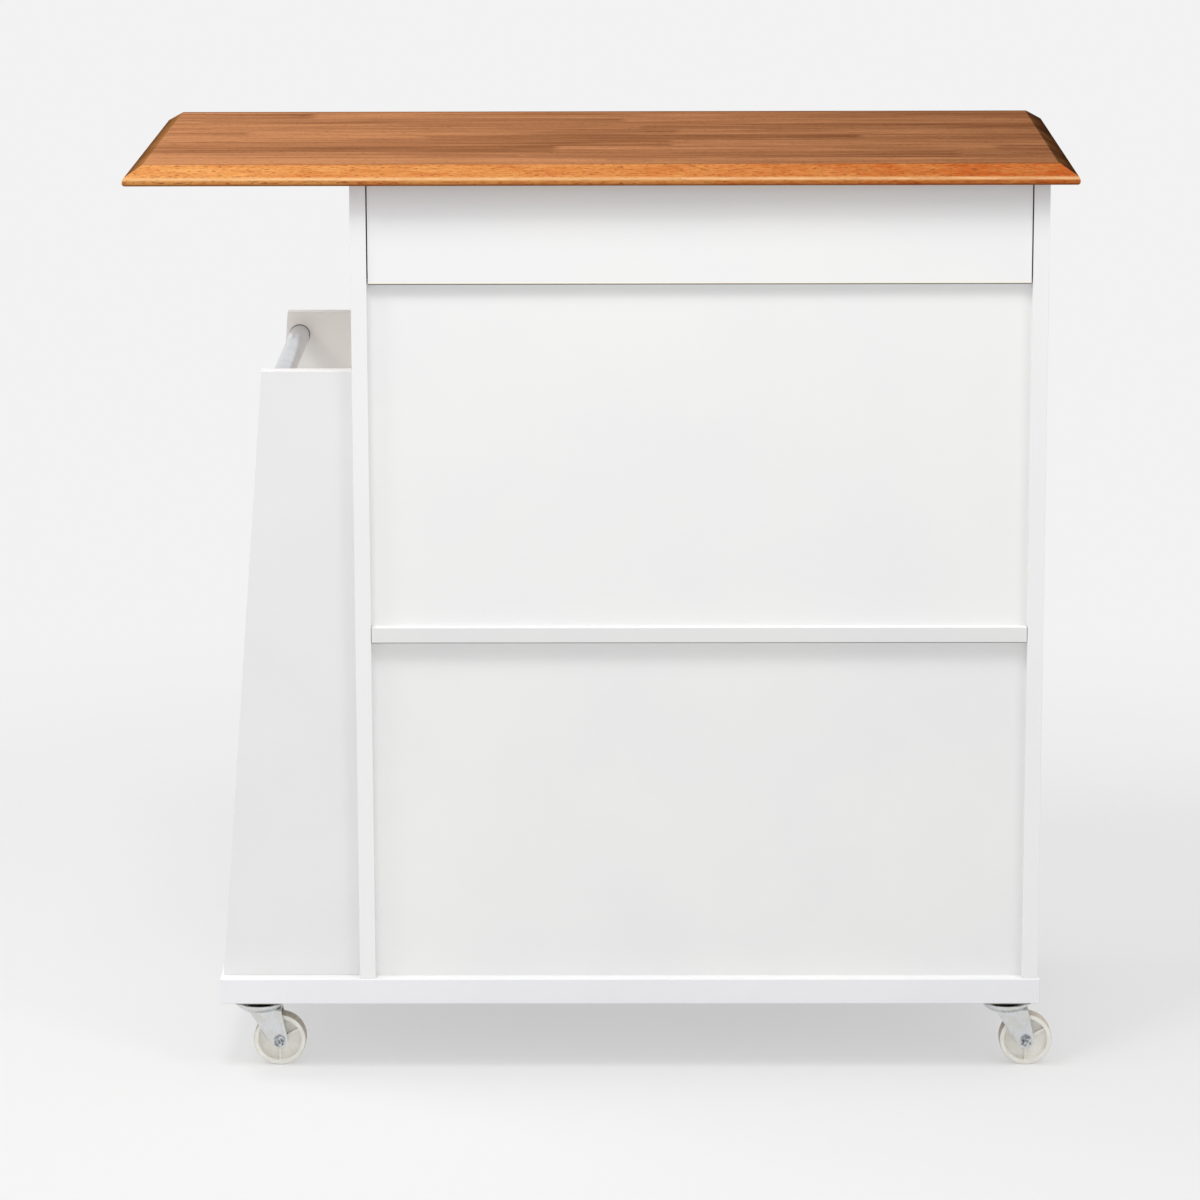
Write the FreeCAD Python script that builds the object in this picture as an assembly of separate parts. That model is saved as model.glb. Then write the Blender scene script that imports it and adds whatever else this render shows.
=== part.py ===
import FreeCAD, Part
import math
import os

# Kitchen island cart with a butcher block top, on four swivel casters. Millimetres, +Z up.
# The origin is on the floor under the middle of the top. The front, with its two drawers and two
# doors, faces -Y, the plain back faces +Y, and the open side rack stands at the +X end.

# ---- butcher block top
top_length = 890.0
top_depth = 450.0
top_edge_height = 7.3
top_bevel_drop = 11.2
top_bevel_run = 18.0
top_edge_round = 2.5

# ---- cabinet
board = 15.0
cabinet_width = 654.0
cabinet_depth = 391.0
cabinet_height = 772.0
plain_end_overhang = 26.0
rear_overhang = 20.0
base_thickness = 25.0
base_lip = 2.5
lower_space_height = 332.0
back_rail_height = 96.0
back_rail_inset = 2.5
back_rail_end_gap = 0.6
back_panel_thickness = 3.0
back_panel_recess = 10.0
groove_depth = 5.0
stretcher_depth = 70.0
dowel_diameter = 8.0
dowel_length = 30.0
dowel_pitch = 150.0
rack_dowel_shares = (0.25, 0.7)

# ---- fronts, drawers and doors
front_thickness = 15.0
front_gap = 2.0
front_edge_chamfer = 2.0
shelf_setback = 3.0
drawer_space_height = 135.0
drawer_side_gap = 12.5
drawer_side_thickness = 12.0
drawer_box_height = 88.0
drawer_box_lift = 12.0
drawer_box_length = 340.0
drawer_bottom_thickness = 3.0
drawer_bottom_lift = 10.0
door_meeting_gap = 3.0
door_frame_width = 55.0
door_recess_depth = 4.0

# ---- drawer runners: a lipped channel on the case holds the T-shaped bar on the drawer
runner_length = 320.0
runner_sheet = 1.2
channel_height = 22.0
channel_depth = 8.5
channel_slot = 9.0
runner_play = 0.4

# ---- pulls
pull_length = 128.0
pull_post_pitch = 96.0
pull_bar_diameter = 10.0
pull_post_diameter = 8.0
pull_reach = 27.0
pull_corner_offset = 95.0

# ---- butt hinges, whose leaves fold together in the gap beside the door
hinge_length = 50.0
hinge_gap = 2.4
hinge_leaf = 1.1
hinge_leaf_depth = 12.0
hinge_end_offset = 85.0
hinge_pin_diameter = 3.0
hinge_knuckle_diameter = 6.0
hinge_knuckles = 3
hinge_knuckle_play = 0.3
hinge_stand_off = 0.3

# ---- magnetic catches
catch_length = 40.0
catch_height = 12.0
catch_depth = 16.0
catch_inset = 22.0
strike_length = 30.0
strike_thickness = 1.2
catch_air = 0.3
pole_reach = 1.0
pole_thickness = 1.5
pole_shares = (0.25, 0.65)

# ---- side rack with towel bar
rack_height = 593.0
rack_top_depth = 86.0
rack_bottom_depth = 133.0
rack_rear_setback = 14.0
rack_front_setback = 15.0
rack_shelf_thickness = 12.0
rack_shelf_edge_inset = 3.0
rack_shelf_pitch = 190.0
towel_bar_diameter = 20.0
towel_bar_wall = 1.5
towel_bar_edge_inset = 14.0
towel_bar_drop = 23.0
socket_depth = 8.0
socket_play = 0.4
guard_bar_diameter = 8.0
guard_bar_rise = 42.0
guard_bar_edge_inset = 12.0

# ---- casters
caster_height = 70.0
caster_end_inset_plain = 30.0
caster_end_inset_rack = 36.0
caster_side_inset = 36.0
caster_trail = 19.0
plate_length = 60.0
plate_width = 47.0
plate_thickness = 2.5
plate_corner_clip = 4.0
plate_screw_inset = 7.5
upper_race_depth = 6.0
upper_race_radius = 18.0
upper_race_slope = 2.0
race_gap = 4.5
ball_diameter = 4.3
ball_circle_radius = 14.0
crown_sheet = 2.0
crown_radius = 23.0
crown_floor_radius = 17.0
crown_rim_height = 5.7
crown_lip = 2.5
kingpin_diameter = 8.0
kingpin_head_diameter = 14.0
kingpin_head_height = 2.0
leg_sheet = 2.0
leg_end_radius = 8.0
leg_lead = 10.5
leg_trail = 21.0
wheel_diameter = 50.8
wheel_width = 18.0
wheel_rim = 4.2
wheel_web = 6.0
wheel_draft = 1.0
wheel_rib_sink = 1.2
wheel_ribs = 3
wheel_rib_thickness = 1.8
hub_diameter = 15.0
hub_width = 20.0
axle_diameter = 6.0
axle_head_width = 10.0
axle_head_height = 4.0
axle_end = 1.0
side_play = 0.3
running_fit = 0.08
brake_boss_radius = 4.0
brake_boss_air = 1.5
brake_pivot_angle = 24.8
brake_pin_diameter = 4.0
brake_shoe_lift = 3.7
brake_shoe_thickness = 2.5
brake_shoe_angle = 53.5
brake_foot_reach = 18.0
brake_foot_thickness = 2.2
brake_ear_margin = 1.6
screw_diameter = 4.0
screw_length = 15.0
screw_head_diameter = 7.2
screw_head_height = 2.2

# ---- flat sides that stand for a round: dished forms, pulls, pins, barrels and fasteners
dish_sides = 20
pull_sides = 20
bar_sides = 12
pin_sides = 16
fastener_sides = 6
shoe_steps = 6

# ---- how far off an edge may lie and still be picked by its place or direction
pick_margin = 0.2

# ---- planes that several pieces share
x_left = plain_end_overhang - top_length / 2
x_right = x_left + cabinet_width
x_left_inner = x_left + board
x_right_inner = x_right - board
x_middle = (x_left_inner + x_right_inner) / 2
x_base_end = x_right + rack_bottom_depth + base_lip
y_rear = top_depth / 2 - rear_overhang
y_front = y_rear - cabinet_depth
y_panel_rear = y_rear - back_panel_recess
y_panel_front = y_panel_rear - back_panel_thickness
y_rail_rear = y_rear - back_rail_inset
y_behind_fronts = y_front + front_thickness
z_base = caster_height
z_floor_of_case = z_base + base_thickness
z_shelf = z_floor_of_case + lower_space_height
z_case_top = z_floor_of_case + cabinet_height
z_deck = z_case_top - drawer_space_height
z_rail = z_case_top - back_rail_height
z_top = z_case_top + top_edge_height + top_bevel_drop

nodes = {}


def block(x0, x1, y0, y1, z0, z1):
    """A board from one corner to the opposite one."""
    return Part.makeBox(x1 - x0, y1 - y0, z1 - z0, FreeCAD.Vector(x0, y0, z0))


def rod(start, end, diameter, sides=0):
    """A round bar between two points. A small one is drawn with a few flat sides."""
    start = FreeCAD.Vector(*start)
    run = FreeCAD.Vector(*end) - start
    if not sides:
        return Part.makeCylinder(diameter / 2, run.Length, start, run)
    upright = FreeCAD.Rotation(FreeCAD.Vector(0, 0, 1), run)
    turns = [2 * math.pi * (count + 0.5) / sides for count in range(sides)]
    corners = [start + upright.multVec(FreeCAD.Vector(
        diameter / 2 * math.cos(turn), diameter / 2 * math.sin(turn), 0)) for turn in turns]
    return prism(corners, run)


def bore_for(shaft_diameter, sides):
    """Across the corners of a flat-sided bore in which the shaft still turns freely."""
    return (shaft_diameter + 2 * running_fit) / math.cos(math.pi / sides)


def prism(outline, run):
    """A closed outline of 3-D points, pushed along a vector."""
    return flat_face([FreeCAD.Vector(*point) for point in outline]).extrude(FreeCAD.Vector(*run))


def flat_face(corners):
    return Part.Face(Part.makePolygon(corners + corners[:1]))


def between(ring0, ring1):
    """A solid between two flat outlines that lie side by side, with one flat side per edge."""
    rings = [[FreeCAD.Vector(*corner) for corner in ring] for ring in (ring0, ring1)]
    faces = [flat_face(ring) for ring in rings]
    for count in range(len(ring0)):
        near, far = rings[0][count], rings[1][count]
        faces.append(flat_face([rings[0][count - 1], near, far, rings[1][count - 1]]))
    return Part.makeSolid(Part.makeShell(faces))


def cone(radius0, z0, radius1, z1, sides):
    """A solid round the Z axis that narrows or widens from one height to another."""
    turns = [2 * math.pi * (count + 0.5) / sides for count in range(sides)]
    return between(*([(radius * math.cos(turn), radius * math.sin(turn), z) for turn in turns]
                     for radius, z in ((radius0, z0), (radius1, z1))))


def moved(shape, x, y, z):
    copy = shape.copy()
    copy.translate(FreeCAD.Vector(x, y, z))
    return copy


def flipped(shape):
    """The mirror image across the YZ plane."""
    return shape.mirror(FreeCAD.Vector(0, 0, 0), FreeCAD.Vector(1, 0, 0))


def group(shapes):
    return Part.makeCompound(list(shapes))


def upright_edges(shape):
    """The edges that run along Z."""
    return [e for e in shape.Edges if abs(e.tangentAt(e.FirstParameter).z) > pick_margin]


# ---- butcher block top: a thin square edge with a wide bevel above it, mitred at the corners
def butcher_block():
    half_length = top_length / 2
    half_depth = top_depth / 2
    edge = block(-half_length, half_length, -half_depth, half_depth, z_case_top,
                 z_case_top + top_edge_height)
    lower_arris = [e for e in edge.Edges if abs(e.CenterOfMass.z - z_case_top) < pick_margin]
    edge = edge.makeFillet(top_edge_round, lower_arris)

    def ring(inset, z):
        x = half_length - inset
        y = half_depth - inset
        return [(-x, -y, z), (x, -y, z), (x, y, z), (-x, y, z)]

    bevel = between(ring(0, z_case_top + top_edge_height), ring(top_bevel_run, z_top))
    return edge.fuse(bevel).removeSplitter()


nodes["butcher_block_top"] = butcher_block()

# ---- carcass: side panels on a thick base that also carries the rack
base = block(x_left - base_lip, x_base_end, y_front - base_lip, y_rear + base_lip,
             z_base, z_floor_of_case)
left_side = block(x_left, x_left_inner, y_front, y_rear, z_floor_of_case, z_case_top)
right_side = block(x_right_inner, x_right, y_front, y_rear, z_floor_of_case, z_case_top)
y_shelf_front = y_behind_fronts + shelf_setback
middle_shelf = block(x_left_inner, x_right_inner, y_shelf_front, y_rear, z_shelf, z_shelf + board)
back_rail = block(x_left_inner + back_rail_end_gap, x_right_inner - back_rail_end_gap,
                  y_rail_rear - board, y_rail_rear, z_rail, z_case_top)
deck = block(x_left_inner, x_right_inner, y_front, y_panel_front, z_deck - board, z_deck)
stretcher = block(x_left_inner, x_right_inner, y_shelf_front, y_shelf_front + stretcher_depth,
                  z_case_top - board, z_case_top)
divider = block(x_middle - board / 2, x_middle + board / 2, y_front, y_rail_rear - board,
                z_deck, z_case_top).cut(stretcher)


# The two thin back panels slide in grooves in every board round them.
def back_panel(z0, z1):
    return block(x_left_inner - groove_depth, x_right_inner + groove_depth,
                 y_panel_front, y_panel_rear, z0 - groove_depth, z1 + groove_depth)


upper_back = back_panel(z_shelf + board, z_rail)
lower_back = back_panel(z_floor_of_case, z_shelf)


# ---- side rack: two boards whose outer edges lean in towards the top, shelves and bars
def rack_edge(z):
    """How far the leaning edge of the rack stands out at a height."""
    share = (z - z_floor_of_case) / rack_height
    return x_right + rack_bottom_depth + (rack_top_depth - rack_bottom_depth) * share


z_rack_top = z_floor_of_case + rack_height
y_rack_rear = y_rear + base_lip - rack_rear_setback
y_rack_front = y_front - base_lip + rack_front_setback
y_rack_inner_rear = y_rack_rear - board
y_rack_inner_front = y_rack_front + board


def rack_board(y):
    outline = [(x_right, y, z_floor_of_case), (rack_edge(z_floor_of_case), y, z_floor_of_case),
               (rack_edge(z_rack_top), y, z_rack_top), (x_right, y, z_rack_top)]
    return prism(outline, (0, board, 0))


def rack_shelf(z):
    return block(x_right, rack_edge(z) - rack_shelf_edge_inset, y_rack_inner_front,
                 y_rack_inner_rear, z - rack_shelf_thickness, z)


def rack_bar(x, z, diameter, sides=0):
    return rod((x, y_rack_inner_front - socket_depth, z),
               (x, y_rack_inner_rear + socket_depth, z), diameter, sides)


tiers = [z_floor_of_case, z_floor_of_case + rack_shelf_pitch,
         z_floor_of_case + 2 * rack_shelf_pitch]
z_towel_bar = z_rack_top - towel_bar_drop
x_towel_bar = rack_edge(z_towel_bar) - towel_bar_edge_inset
z_guards = [tier + guard_bar_rise for tier in tiers]
sockets = [rack_bar(x_towel_bar, z_towel_bar, towel_bar_diameter + 2 * socket_play)]
for z_guard in z_guards:
    x_guard = rack_edge(z_guard) - guard_bar_edge_inset
    sockets.append(rack_bar(x_guard, z_guard, guard_bar_diameter + 2 * socket_play, bar_sides))
nodes["rack_shelf_lower"] = rack_shelf(tiers[1])
nodes["rack_shelf_upper"] = rack_shelf(tiers[2])
nodes["towel_bar"] = rack_bar(x_towel_bar, z_towel_bar, towel_bar_diameter).cut(
    rack_bar(x_towel_bar, z_towel_bar, towel_bar_diameter - 2 * towel_bar_wall, bar_sides))
nodes["rack_guard_bars"] = group(
    rack_bar(rack_edge(z) - guard_bar_edge_inset, z, guard_bar_diameter, bar_sides)
    for z in z_guards)


# ---- dowels stand half in the base and half in the upright boards
def dowel_rows():
    y_case = (y_front + y_rear) / 2
    rows = []
    for x in (x_left + board / 2, x_right - board / 2):
        rows += [(x, y_case + step * dowel_pitch) for step in (-1, 0, 1)]
    for y in (y_rack_front + board / 2, y_rack_rear - board / 2):
        rows += [(x_right + rack_bottom_depth * share, y) for share in rack_dowel_shares]
    return rows


dowels = group(rod((x, y, z_floor_of_case - dowel_length / 2),
                   (x, y, z_floor_of_case + dowel_length / 2), dowel_diameter, bar_sides)
               for x, y in dowel_rows())
nodes["carcass_dowels"] = dowels
nodes["left_side_panel"] = left_side.cut([upper_back, lower_back, dowels])
nodes["right_side_panel"] = right_side.cut([upper_back, lower_back, dowels])
nodes["middle_shelf"] = middle_shelf.cut([upper_back, lower_back])
nodes["back_rail"] = back_rail.cut(upper_back)
nodes["drawer_deck"] = deck
nodes["front_stretcher"] = stretcher
nodes["drawer_divider"] = divider
nodes["upper_back_panel"] = upper_back
nodes["lower_back_panel"] = lower_back
nodes["rack_rear_board"] = rack_board(y_rack_inner_rear).cut(sockets + [dowels])
nodes["rack_front_board"] = rack_board(y_rack_front).cut(sockets + [dowels])


# ---- drawer runners, drawn for a wall at x = 0 with the drawer on the +x side
def runner_channel():
    half = channel_height / 2
    shell = block(0, channel_depth, 0, runner_length, -half, half)
    hollow = block(runner_sheet, channel_depth - runner_sheet, 0, runner_length,
                   runner_sheet - half, half - runner_sheet)
    slot = block(0, channel_depth, 0, runner_length, -channel_slot / 2, channel_slot / 2)
    slot = slot.cut(block(0, runner_sheet, 0, runner_length, -half, half))
    return shell.cut([hollow, slot])


def runner_bar():
    head_half = channel_height / 2 - runner_sheet - runner_play
    stem_half = channel_slot / 2 - runner_play
    head = block(runner_sheet + runner_play, channel_depth - runner_sheet - runner_play,
                 0, runner_length, -head_half, head_half)
    stem = block(runner_sheet + runner_play, drawer_side_gap, 0, runner_length,
                 -stem_half, stem_half)
    plate = block(drawer_side_gap - runner_sheet, drawer_side_gap, 0, runner_length,
                  -channel_height / 2, channel_height / 2)
    return head.fuse([stem, plate]).removeSplitter()


z_drawer_box = z_deck + drawer_box_lift
z_runner = z_drawer_box + drawer_box_height / 2
y_runner = y_behind_fronts + shelf_setback
drawer_bays = {"left": (x_left_inner, x_middle - board / 2),
               "right": (x_middle + board / 2, x_right_inner)}


def on_both_walls(shape, bay):
    """A runner piece at the left wall of a bay, and its mirror image at the right wall."""
    return [moved(shape, bay[0], y_runner, z_runner),
            moved(flipped(shape), bay[1], y_runner, z_runner)]


for side, bay in drawer_bays.items():
    nodes["cabinet_runners_" + side] = group(on_both_walls(runner_channel(), bay))


# ---- pulls: a bar on two posts, drawn lying along X on a face whose outside is -Y
def pull():
    y_bar = pull_bar_diameter / 2 - pull_reach
    bar = rod((-pull_length / 2, y_bar, 0), (pull_length / 2, y_bar, 0), pull_bar_diameter,
              pull_sides)
    posts = [rod((side * pull_post_pitch / 2, 0, 0), (side * pull_post_pitch / 2, y_bar, 0),
                 pull_post_diameter, bar_sides) for side in (-1, 1)]
    return bar.fuse(posts)


# ---- drawers: front, two sides, back and a thin bottom held in grooves
def drawer(side, bay):
    x0 = bay[0] + drawer_side_gap
    x1 = bay[1] - drawer_side_gap
    y_box_rear = y_behind_fronts + drawer_box_length
    z_box_top = z_drawer_box + drawer_box_height
    z_bottom = z_drawer_box + drawer_bottom_lift
    groove = drawer_side_thickness / 2
    front = block(bay[0] + front_gap, bay[1] - front_gap, y_front, y_behind_fronts,
                  z_deck + front_gap, z_case_top - front_gap)
    arris = [e for e in front.Edges if abs(e.CenterOfMass.y - y_front) < pick_margin]
    front = front.makeChamfer(front_edge_chamfer, arris)
    bottom = block(x0 + drawer_side_thickness - groove, x1 - drawer_side_thickness + groove,
                   y_behind_fronts - groove, y_box_rear - drawer_side_thickness + groove,
                   z_bottom, z_bottom + drawer_bottom_thickness)
    sides = [block(x0, x0 + drawer_side_thickness, y_behind_fronts, y_box_rear,
                   z_drawer_box, z_box_top).cut(bottom),
             block(x1 - drawer_side_thickness, x1, y_behind_fronts, y_box_rear,
                   z_drawer_box, z_box_top).cut(bottom)]
    back = block(x0 + drawer_side_thickness, x1 - drawer_side_thickness,
                 y_box_rear - drawer_side_thickness, y_box_rear, z_drawer_box, z_box_top)
    nodes["drawer_front_" + side] = front.cut(bottom)
    nodes["drawer_box_" + side] = group(sides + [back.cut(bottom)])
    nodes["drawer_bottom_" + side] = bottom
    nodes["drawer_runners_" + side] = group(on_both_walls(runner_bar(), bay))
    nodes["drawer_pull_" + side] = moved(pull(), (bay[0] + bay[1]) / 2, y_front,
                                         (z_deck + z_case_top) / 2)


for side, bay in drawer_bays.items():
    drawer(side, bay)


# ---- hinges, drawn for the left door: pin on the Z axis, case side at -x, door side at +x
def hinge_halves():
    knuckle_pitch = hinge_length / hinge_knuckles
    knuckle_length = knuckle_pitch - hinge_knuckle_play
    y_face = hinge_knuckle_diameter / 2 + hinge_stand_off
    x_outer = hinge_gap / 2
    halves = []
    bores = (hinge_pin_diameter, bore_for(hinge_pin_diameter, bar_sides))
    for parity, turn, bore in ((0, -1, bores[0]), (1, 1, bores[1])):
        x_pair = sorted((turn * x_outer, turn * (x_outer - hinge_leaf)))
        leaf = block(x_pair[0], x_pair[1], y_face, y_face + hinge_leaf_depth, 0, hinge_length)
        pieces = []
        for count in range(parity, hinge_knuckles, 2):
            z0 = count * knuckle_pitch + hinge_knuckle_play / 2
            barrel = rod((0, 0, z0), (0, 0, z0 + knuckle_length), hinge_knuckle_diameter,
                         bar_sides)
            tab = block(x_pair[0], x_pair[1], 0, y_face, z0, z0 + knuckle_length)
            pieces += [barrel, tab]
        hole = rod((0, 0, 0), (0, 0, hinge_length), bore, bar_sides)
        halves.append(leaf.fuse(pieces).cut(hole).removeSplitter())
    return halves


frame_leaf, door_leaf = hinge_halves()
hinge_pin = rod((0, 0, 0), (0, 0, hinge_length), hinge_pin_diameter, bar_sides)
y_hinge = y_front - hinge_knuckle_diameter / 2 - hinge_stand_off
z_door = z_floor_of_case + front_gap
z_door_top = z_deck - board - front_gap
z_hinges = [z_door + hinge_end_offset, z_door_top - hinge_end_offset - hinge_length]


def at_hinges(shape, side):
    """A hinge piece at both hinges of one door."""
    if side == "left":
        return [moved(shape, x_left_inner + hinge_gap / 2, y_hinge, z) for z in z_hinges]
    return [moved(flipped(shape), x_right_inner - hinge_gap / 2, y_hinge, z) for z in z_hinges]


both = ("left", "right")
nodes["hinge_frame_leaves"] = group(p for side in both for p in at_hinges(frame_leaf, side))
nodes["hinge_pins"] = group(p for side in both for p in at_hinges(hinge_pin, side))


# ---- doors: a flat board with a sunk, bevel-edged field, a bar pull and a catch plate
def door(side):
    turn = -1 if side == "left" else 1
    x_hinged = x_left_inner + hinge_gap if side == "left" else x_right_inner - hinge_gap
    x_free = x_middle + turn * door_meeting_gap / 2
    x0, x1 = sorted((x_hinged, x_free))
    panel = block(x0, x1, y_front, y_behind_fronts, z_door, z_door_top)

    def field(inset, y):
        xs = (x0 + inset, x1 - inset)
        zs = (z_door + inset, z_door_top - inset)
        return [(xs[0], y, zs[0]), (xs[1], y, zs[0]), (xs[1], y, zs[1]), (xs[0], y, zs[1])]

    sunk = between(field(door_frame_width, y_front),
                   field(door_frame_width + door_recess_depth, y_front + door_recess_depth))
    x_pull = x_free + turn * door_frame_width / 2
    upright = pull()
    upright.rotate(FreeCAD.Vector(0, 0, 0), FreeCAD.Vector(0, 1, 0), 90)
    x_strike = x_free + turn * (catch_inset + catch_length / 2)
    z_strike = z_deck - board - catch_height / 2
    nodes["door_" + side] = panel.cut(sunk)
    nodes["door_pull_" + side] = moved(upright, x_pull, y_front, z_door_top - pull_corner_offset)
    nodes["door_hinge_leaves_" + side] = group(at_hinges(door_leaf, side))
    nodes["door_strike_" + side] = block(
        x_strike - strike_length / 2, x_strike + strike_length / 2, y_behind_fronts,
        y_behind_fronts + strike_thickness, z_strike - catch_height / 2 + front_gap,
        z_strike + catch_height / 2 - front_gap)
    return x_strike


def catch(x):
    """A magnet in a plastic case under the drawer deck, with two steel pole plates."""
    y0 = y_behind_fronts + strike_thickness + catch_air
    z0 = z_deck - board - catch_height
    case = block(x - catch_length / 2, x + catch_length / 2, y0 + pole_reach, y0 + catch_depth,
                 z0, z_deck - board)
    poles = [block(x - strike_length / 2, x + strike_length / 2, y0, y0 + pole_reach,
                   z0 + share * catch_height, z0 + share * catch_height + pole_thickness)
             for share in pole_shares]
    return case.fuse(poles)


nodes["door_catches"] = group(catch(door(side)) for side in both)


# ---- casters, drawn with the swivel axis on Z, z = 0 under the base, wheel trailing to -x
wheel_radius = wheel_diameter / 2
z_axle = wheel_radius - caster_height
x_axle = -caster_trail
z_plate = -plate_thickness
z_upper_race = z_plate - upper_race_depth
z_crown_floor = z_upper_race - race_gap
z_crown = z_crown_floor - crown_sheet
y_leg = hub_width / 2 + side_play
y_leg_outer = y_leg + leg_sheet
brake_pivot_radius = wheel_radius + brake_boss_radius + brake_boss_air


def about_axle(radius, angle):
    """A point behind the axle: angle from straight up, towards the trailing side."""
    turn = math.radians(angle)
    return x_axle - radius * math.sin(turn), z_axle + radius * math.cos(turn)


x_brake, z_brake = about_axle(brake_pivot_radius, brake_pivot_angle)


def screw_places():
    x = plate_width / 2 - plate_screw_inset
    y = plate_length / 2 - plate_screw_inset
    return [(x, y), (-x, y), (-x, -y), (x, -y)]


def caster_plate():
    """A plate with clipped corners, pressed down in the middle into the upper ball race."""
    plate = block(-plate_width / 2, plate_width / 2, -plate_length / 2, plate_length / 2,
                  z_plate, 0)
    plate = plate.makeChamfer(plate_corner_clip, upright_edges(plate))
    race = cone(upper_race_radius - upper_race_slope, z_upper_race, upper_race_radius, z_plate,
                dish_sides)
    holes = [rod((x, y, z_plate), (x, y, 0), screw_diameter, fastener_sides)
             for x, y in screw_places()]
    kingpin_hole = rod((0, 0, z_upper_race), (0, 0, 0), kingpin_diameter, pin_sides)
    return plate.fuse(race).cut([kingpin_hole] + holes)


def kingpin():
    """A rivet down through the plate and the crown, headed over under the crown."""
    z_head = z_crown - side_play
    shank = rod((0, 0, z_head), (0, 0, 0), kingpin_diameter, pin_sides)
    head = rod((0, 0, z_head - kingpin_head_height), (0, 0, z_head), kingpin_head_diameter,
               pin_sides)
    return shank.fuse(head)


def ball_ring():
    """The ring of balls between the two races, drawn as one plain ring."""
    z_balls = z_upper_race - race_gap / 2
    ring = rod((0, 0, z_balls - ball_diameter / 2), (0, 0, z_balls + ball_diameter / 2),
               2 * ball_circle_radius + ball_diameter, bar_sides)
    hollow = rod((0, 0, z_balls - ball_diameter / 2), (0, 0, z_balls + ball_diameter / 2),
                 2 * ball_circle_radius - ball_diameter, bar_sides)
    return ring.cut(hollow)


def plate_screws():
    shank = rod((0, 0, z_plate), (0, 0, z_plate + screw_length), screw_diameter, fastener_sides)
    head = rod((0, 0, z_plate - screw_head_height), (0, 0, z_plate), screw_head_diameter,
               fastener_sides)
    return [moved(shank.fuse(head), x, y, 0) for x, y in screw_places()]


def fork(braked):
    """A pressed crown, dished round the balls, with two tapering legs folded down from it."""
    z_rim = z_crown_floor + crown_rim_height
    dish = cone(crown_floor_radius, z_crown, crown_radius, z_rim - crown_lip, dish_sides)
    lip = cone(crown_radius, z_rim - crown_lip, crown_radius, z_rim, dish_sides)
    hollow = cone(crown_floor_radius, z_crown_floor, crown_radius - crown_sheet, z_rim,
                  dish_sides)
    pieces = [block(-leg_trail, leg_lead, -y_leg_outer, y_leg_outer, z_crown, z_crown_floor)]
    for y in (-y_leg_outer, y_leg):
        pieces += leg(y)
        if braked:
            pieces += brake_ear(y)
    body = dish.fuse([lip] + pieces).cut(hollow)
    axle_hole = rod((x_axle, -y_leg_outer, z_axle), (x_axle, y_leg_outer, z_axle),
                    axle_diameter, pin_sides)
    swivel_hole = rod((0, 0, z_crown), (0, 0, z_crown_floor),
                      bore_for(kingpin_diameter, pin_sides), pin_sides)
    holes = [axle_hole, swivel_hole]
    if braked:
        holes.append(rod((x_brake, -y_leg_outer, z_brake), (x_brake, y_leg_outer, z_brake),
                         bore_for(brake_pin_diameter, bar_sides), bar_sides))
    return body.cut(holes).removeSplitter()


def leg(y):
    """A tapered plate whose straight edges run into the round end about the axle."""
    lead = tangent_point(leg_lead, z_crown, 1)
    trail = tangent_point(-leg_trail, z_crown, -1)
    outline = [(leg_lead, y, z_crown_floor), (leg_lead, y, z_crown), (lead[0], y, lead[1]),
               (trail[0], y, trail[1]), (-leg_trail, y, z_crown), (-leg_trail, y, z_crown_floor)]
    end = rod((x_axle, y, z_axle), (x_axle, y + leg_sheet, z_axle), 2 * leg_end_radius,
              2 * bar_sides)
    return [prism(outline, (0, leg_sheet, 0)), end]


def tangent_point(x, z, turn):
    """Where a line from (x, z) touches the round end of the leg."""
    dx = x - x_axle
    dz = z - z_axle
    away = math.hypot(dx, dz)
    angle = math.atan2(dz, dx) - turn * math.acos(leg_end_radius / away)
    return (x_axle + leg_end_radius * math.cos(angle), z_axle + leg_end_radius * math.sin(angle))


def brake_ear(y):
    """The corner of a leg that reaches back to carry the pin of the brake pedal."""
    radius = brake_boss_radius + brake_ear_margin
    web = prism([(-leg_trail / 2, y, z_crown_floor), (x_brake, y, z_brake + radius),
                 (x_brake, y, z_brake - radius), (-leg_trail, y, z_axle + leg_end_radius)],
                (0, leg_sheet, 0))
    return [web, rod((x_brake, y, z_brake), (x_brake, y + leg_sheet, z_brake), 2 * radius,
                     pin_sides)]


def wheel():
    """A moulded wheel: a raised rim, a thin web with ribs on both faces, and a hub."""
    rim_half = wheel_width / 2
    web_half = wheel_web / 2
    rim_inner = wheel_radius - wheel_rim
    body = Part.makeCylinder(wheel_radius, wheel_width, FreeCAD.Vector(0, 0, -rim_half))
    hub = rod((0, 0, -hub_width / 2), (0, 0, hub_width / 2), hub_diameter, pin_sides)
    bore = rod((0, 0, -hub_width / 2), (0, 0, hub_width / 2), bore_for(axle_diameter, pin_sides),
               pin_sides)
    recess = cone(rim_inner - wheel_draft, web_half, rim_inner, rim_half, dish_sides)
    far_recess = recess.mirror(FreeCAD.Vector(0, 0, 0), FreeCAD.Vector(0, 0, 1))
    ribs = []
    for count in range(wheel_ribs):
        rib = block(hub_diameter / 2 - wheel_draft, rim_inner, -wheel_rib_thickness / 2,
                    wheel_rib_thickness / 2, wheel_rib_sink - rim_half, rim_half - wheel_rib_sink)
        rib.rotate(FreeCAD.Vector(0, 0, 0), FreeCAD.Vector(0, 0, 1),
                   90 + 360 / wheel_ribs * count)
        ribs.append(rib)
    body = body.cut([recess, far_recess]).fuse(ribs + [hub]).cut(bore)
    body.rotate(FreeCAD.Vector(0, 0, 0), FreeCAD.Vector(1, 0, 0), 90)
    return moved(body, x_axle, 0, z_axle)


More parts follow.
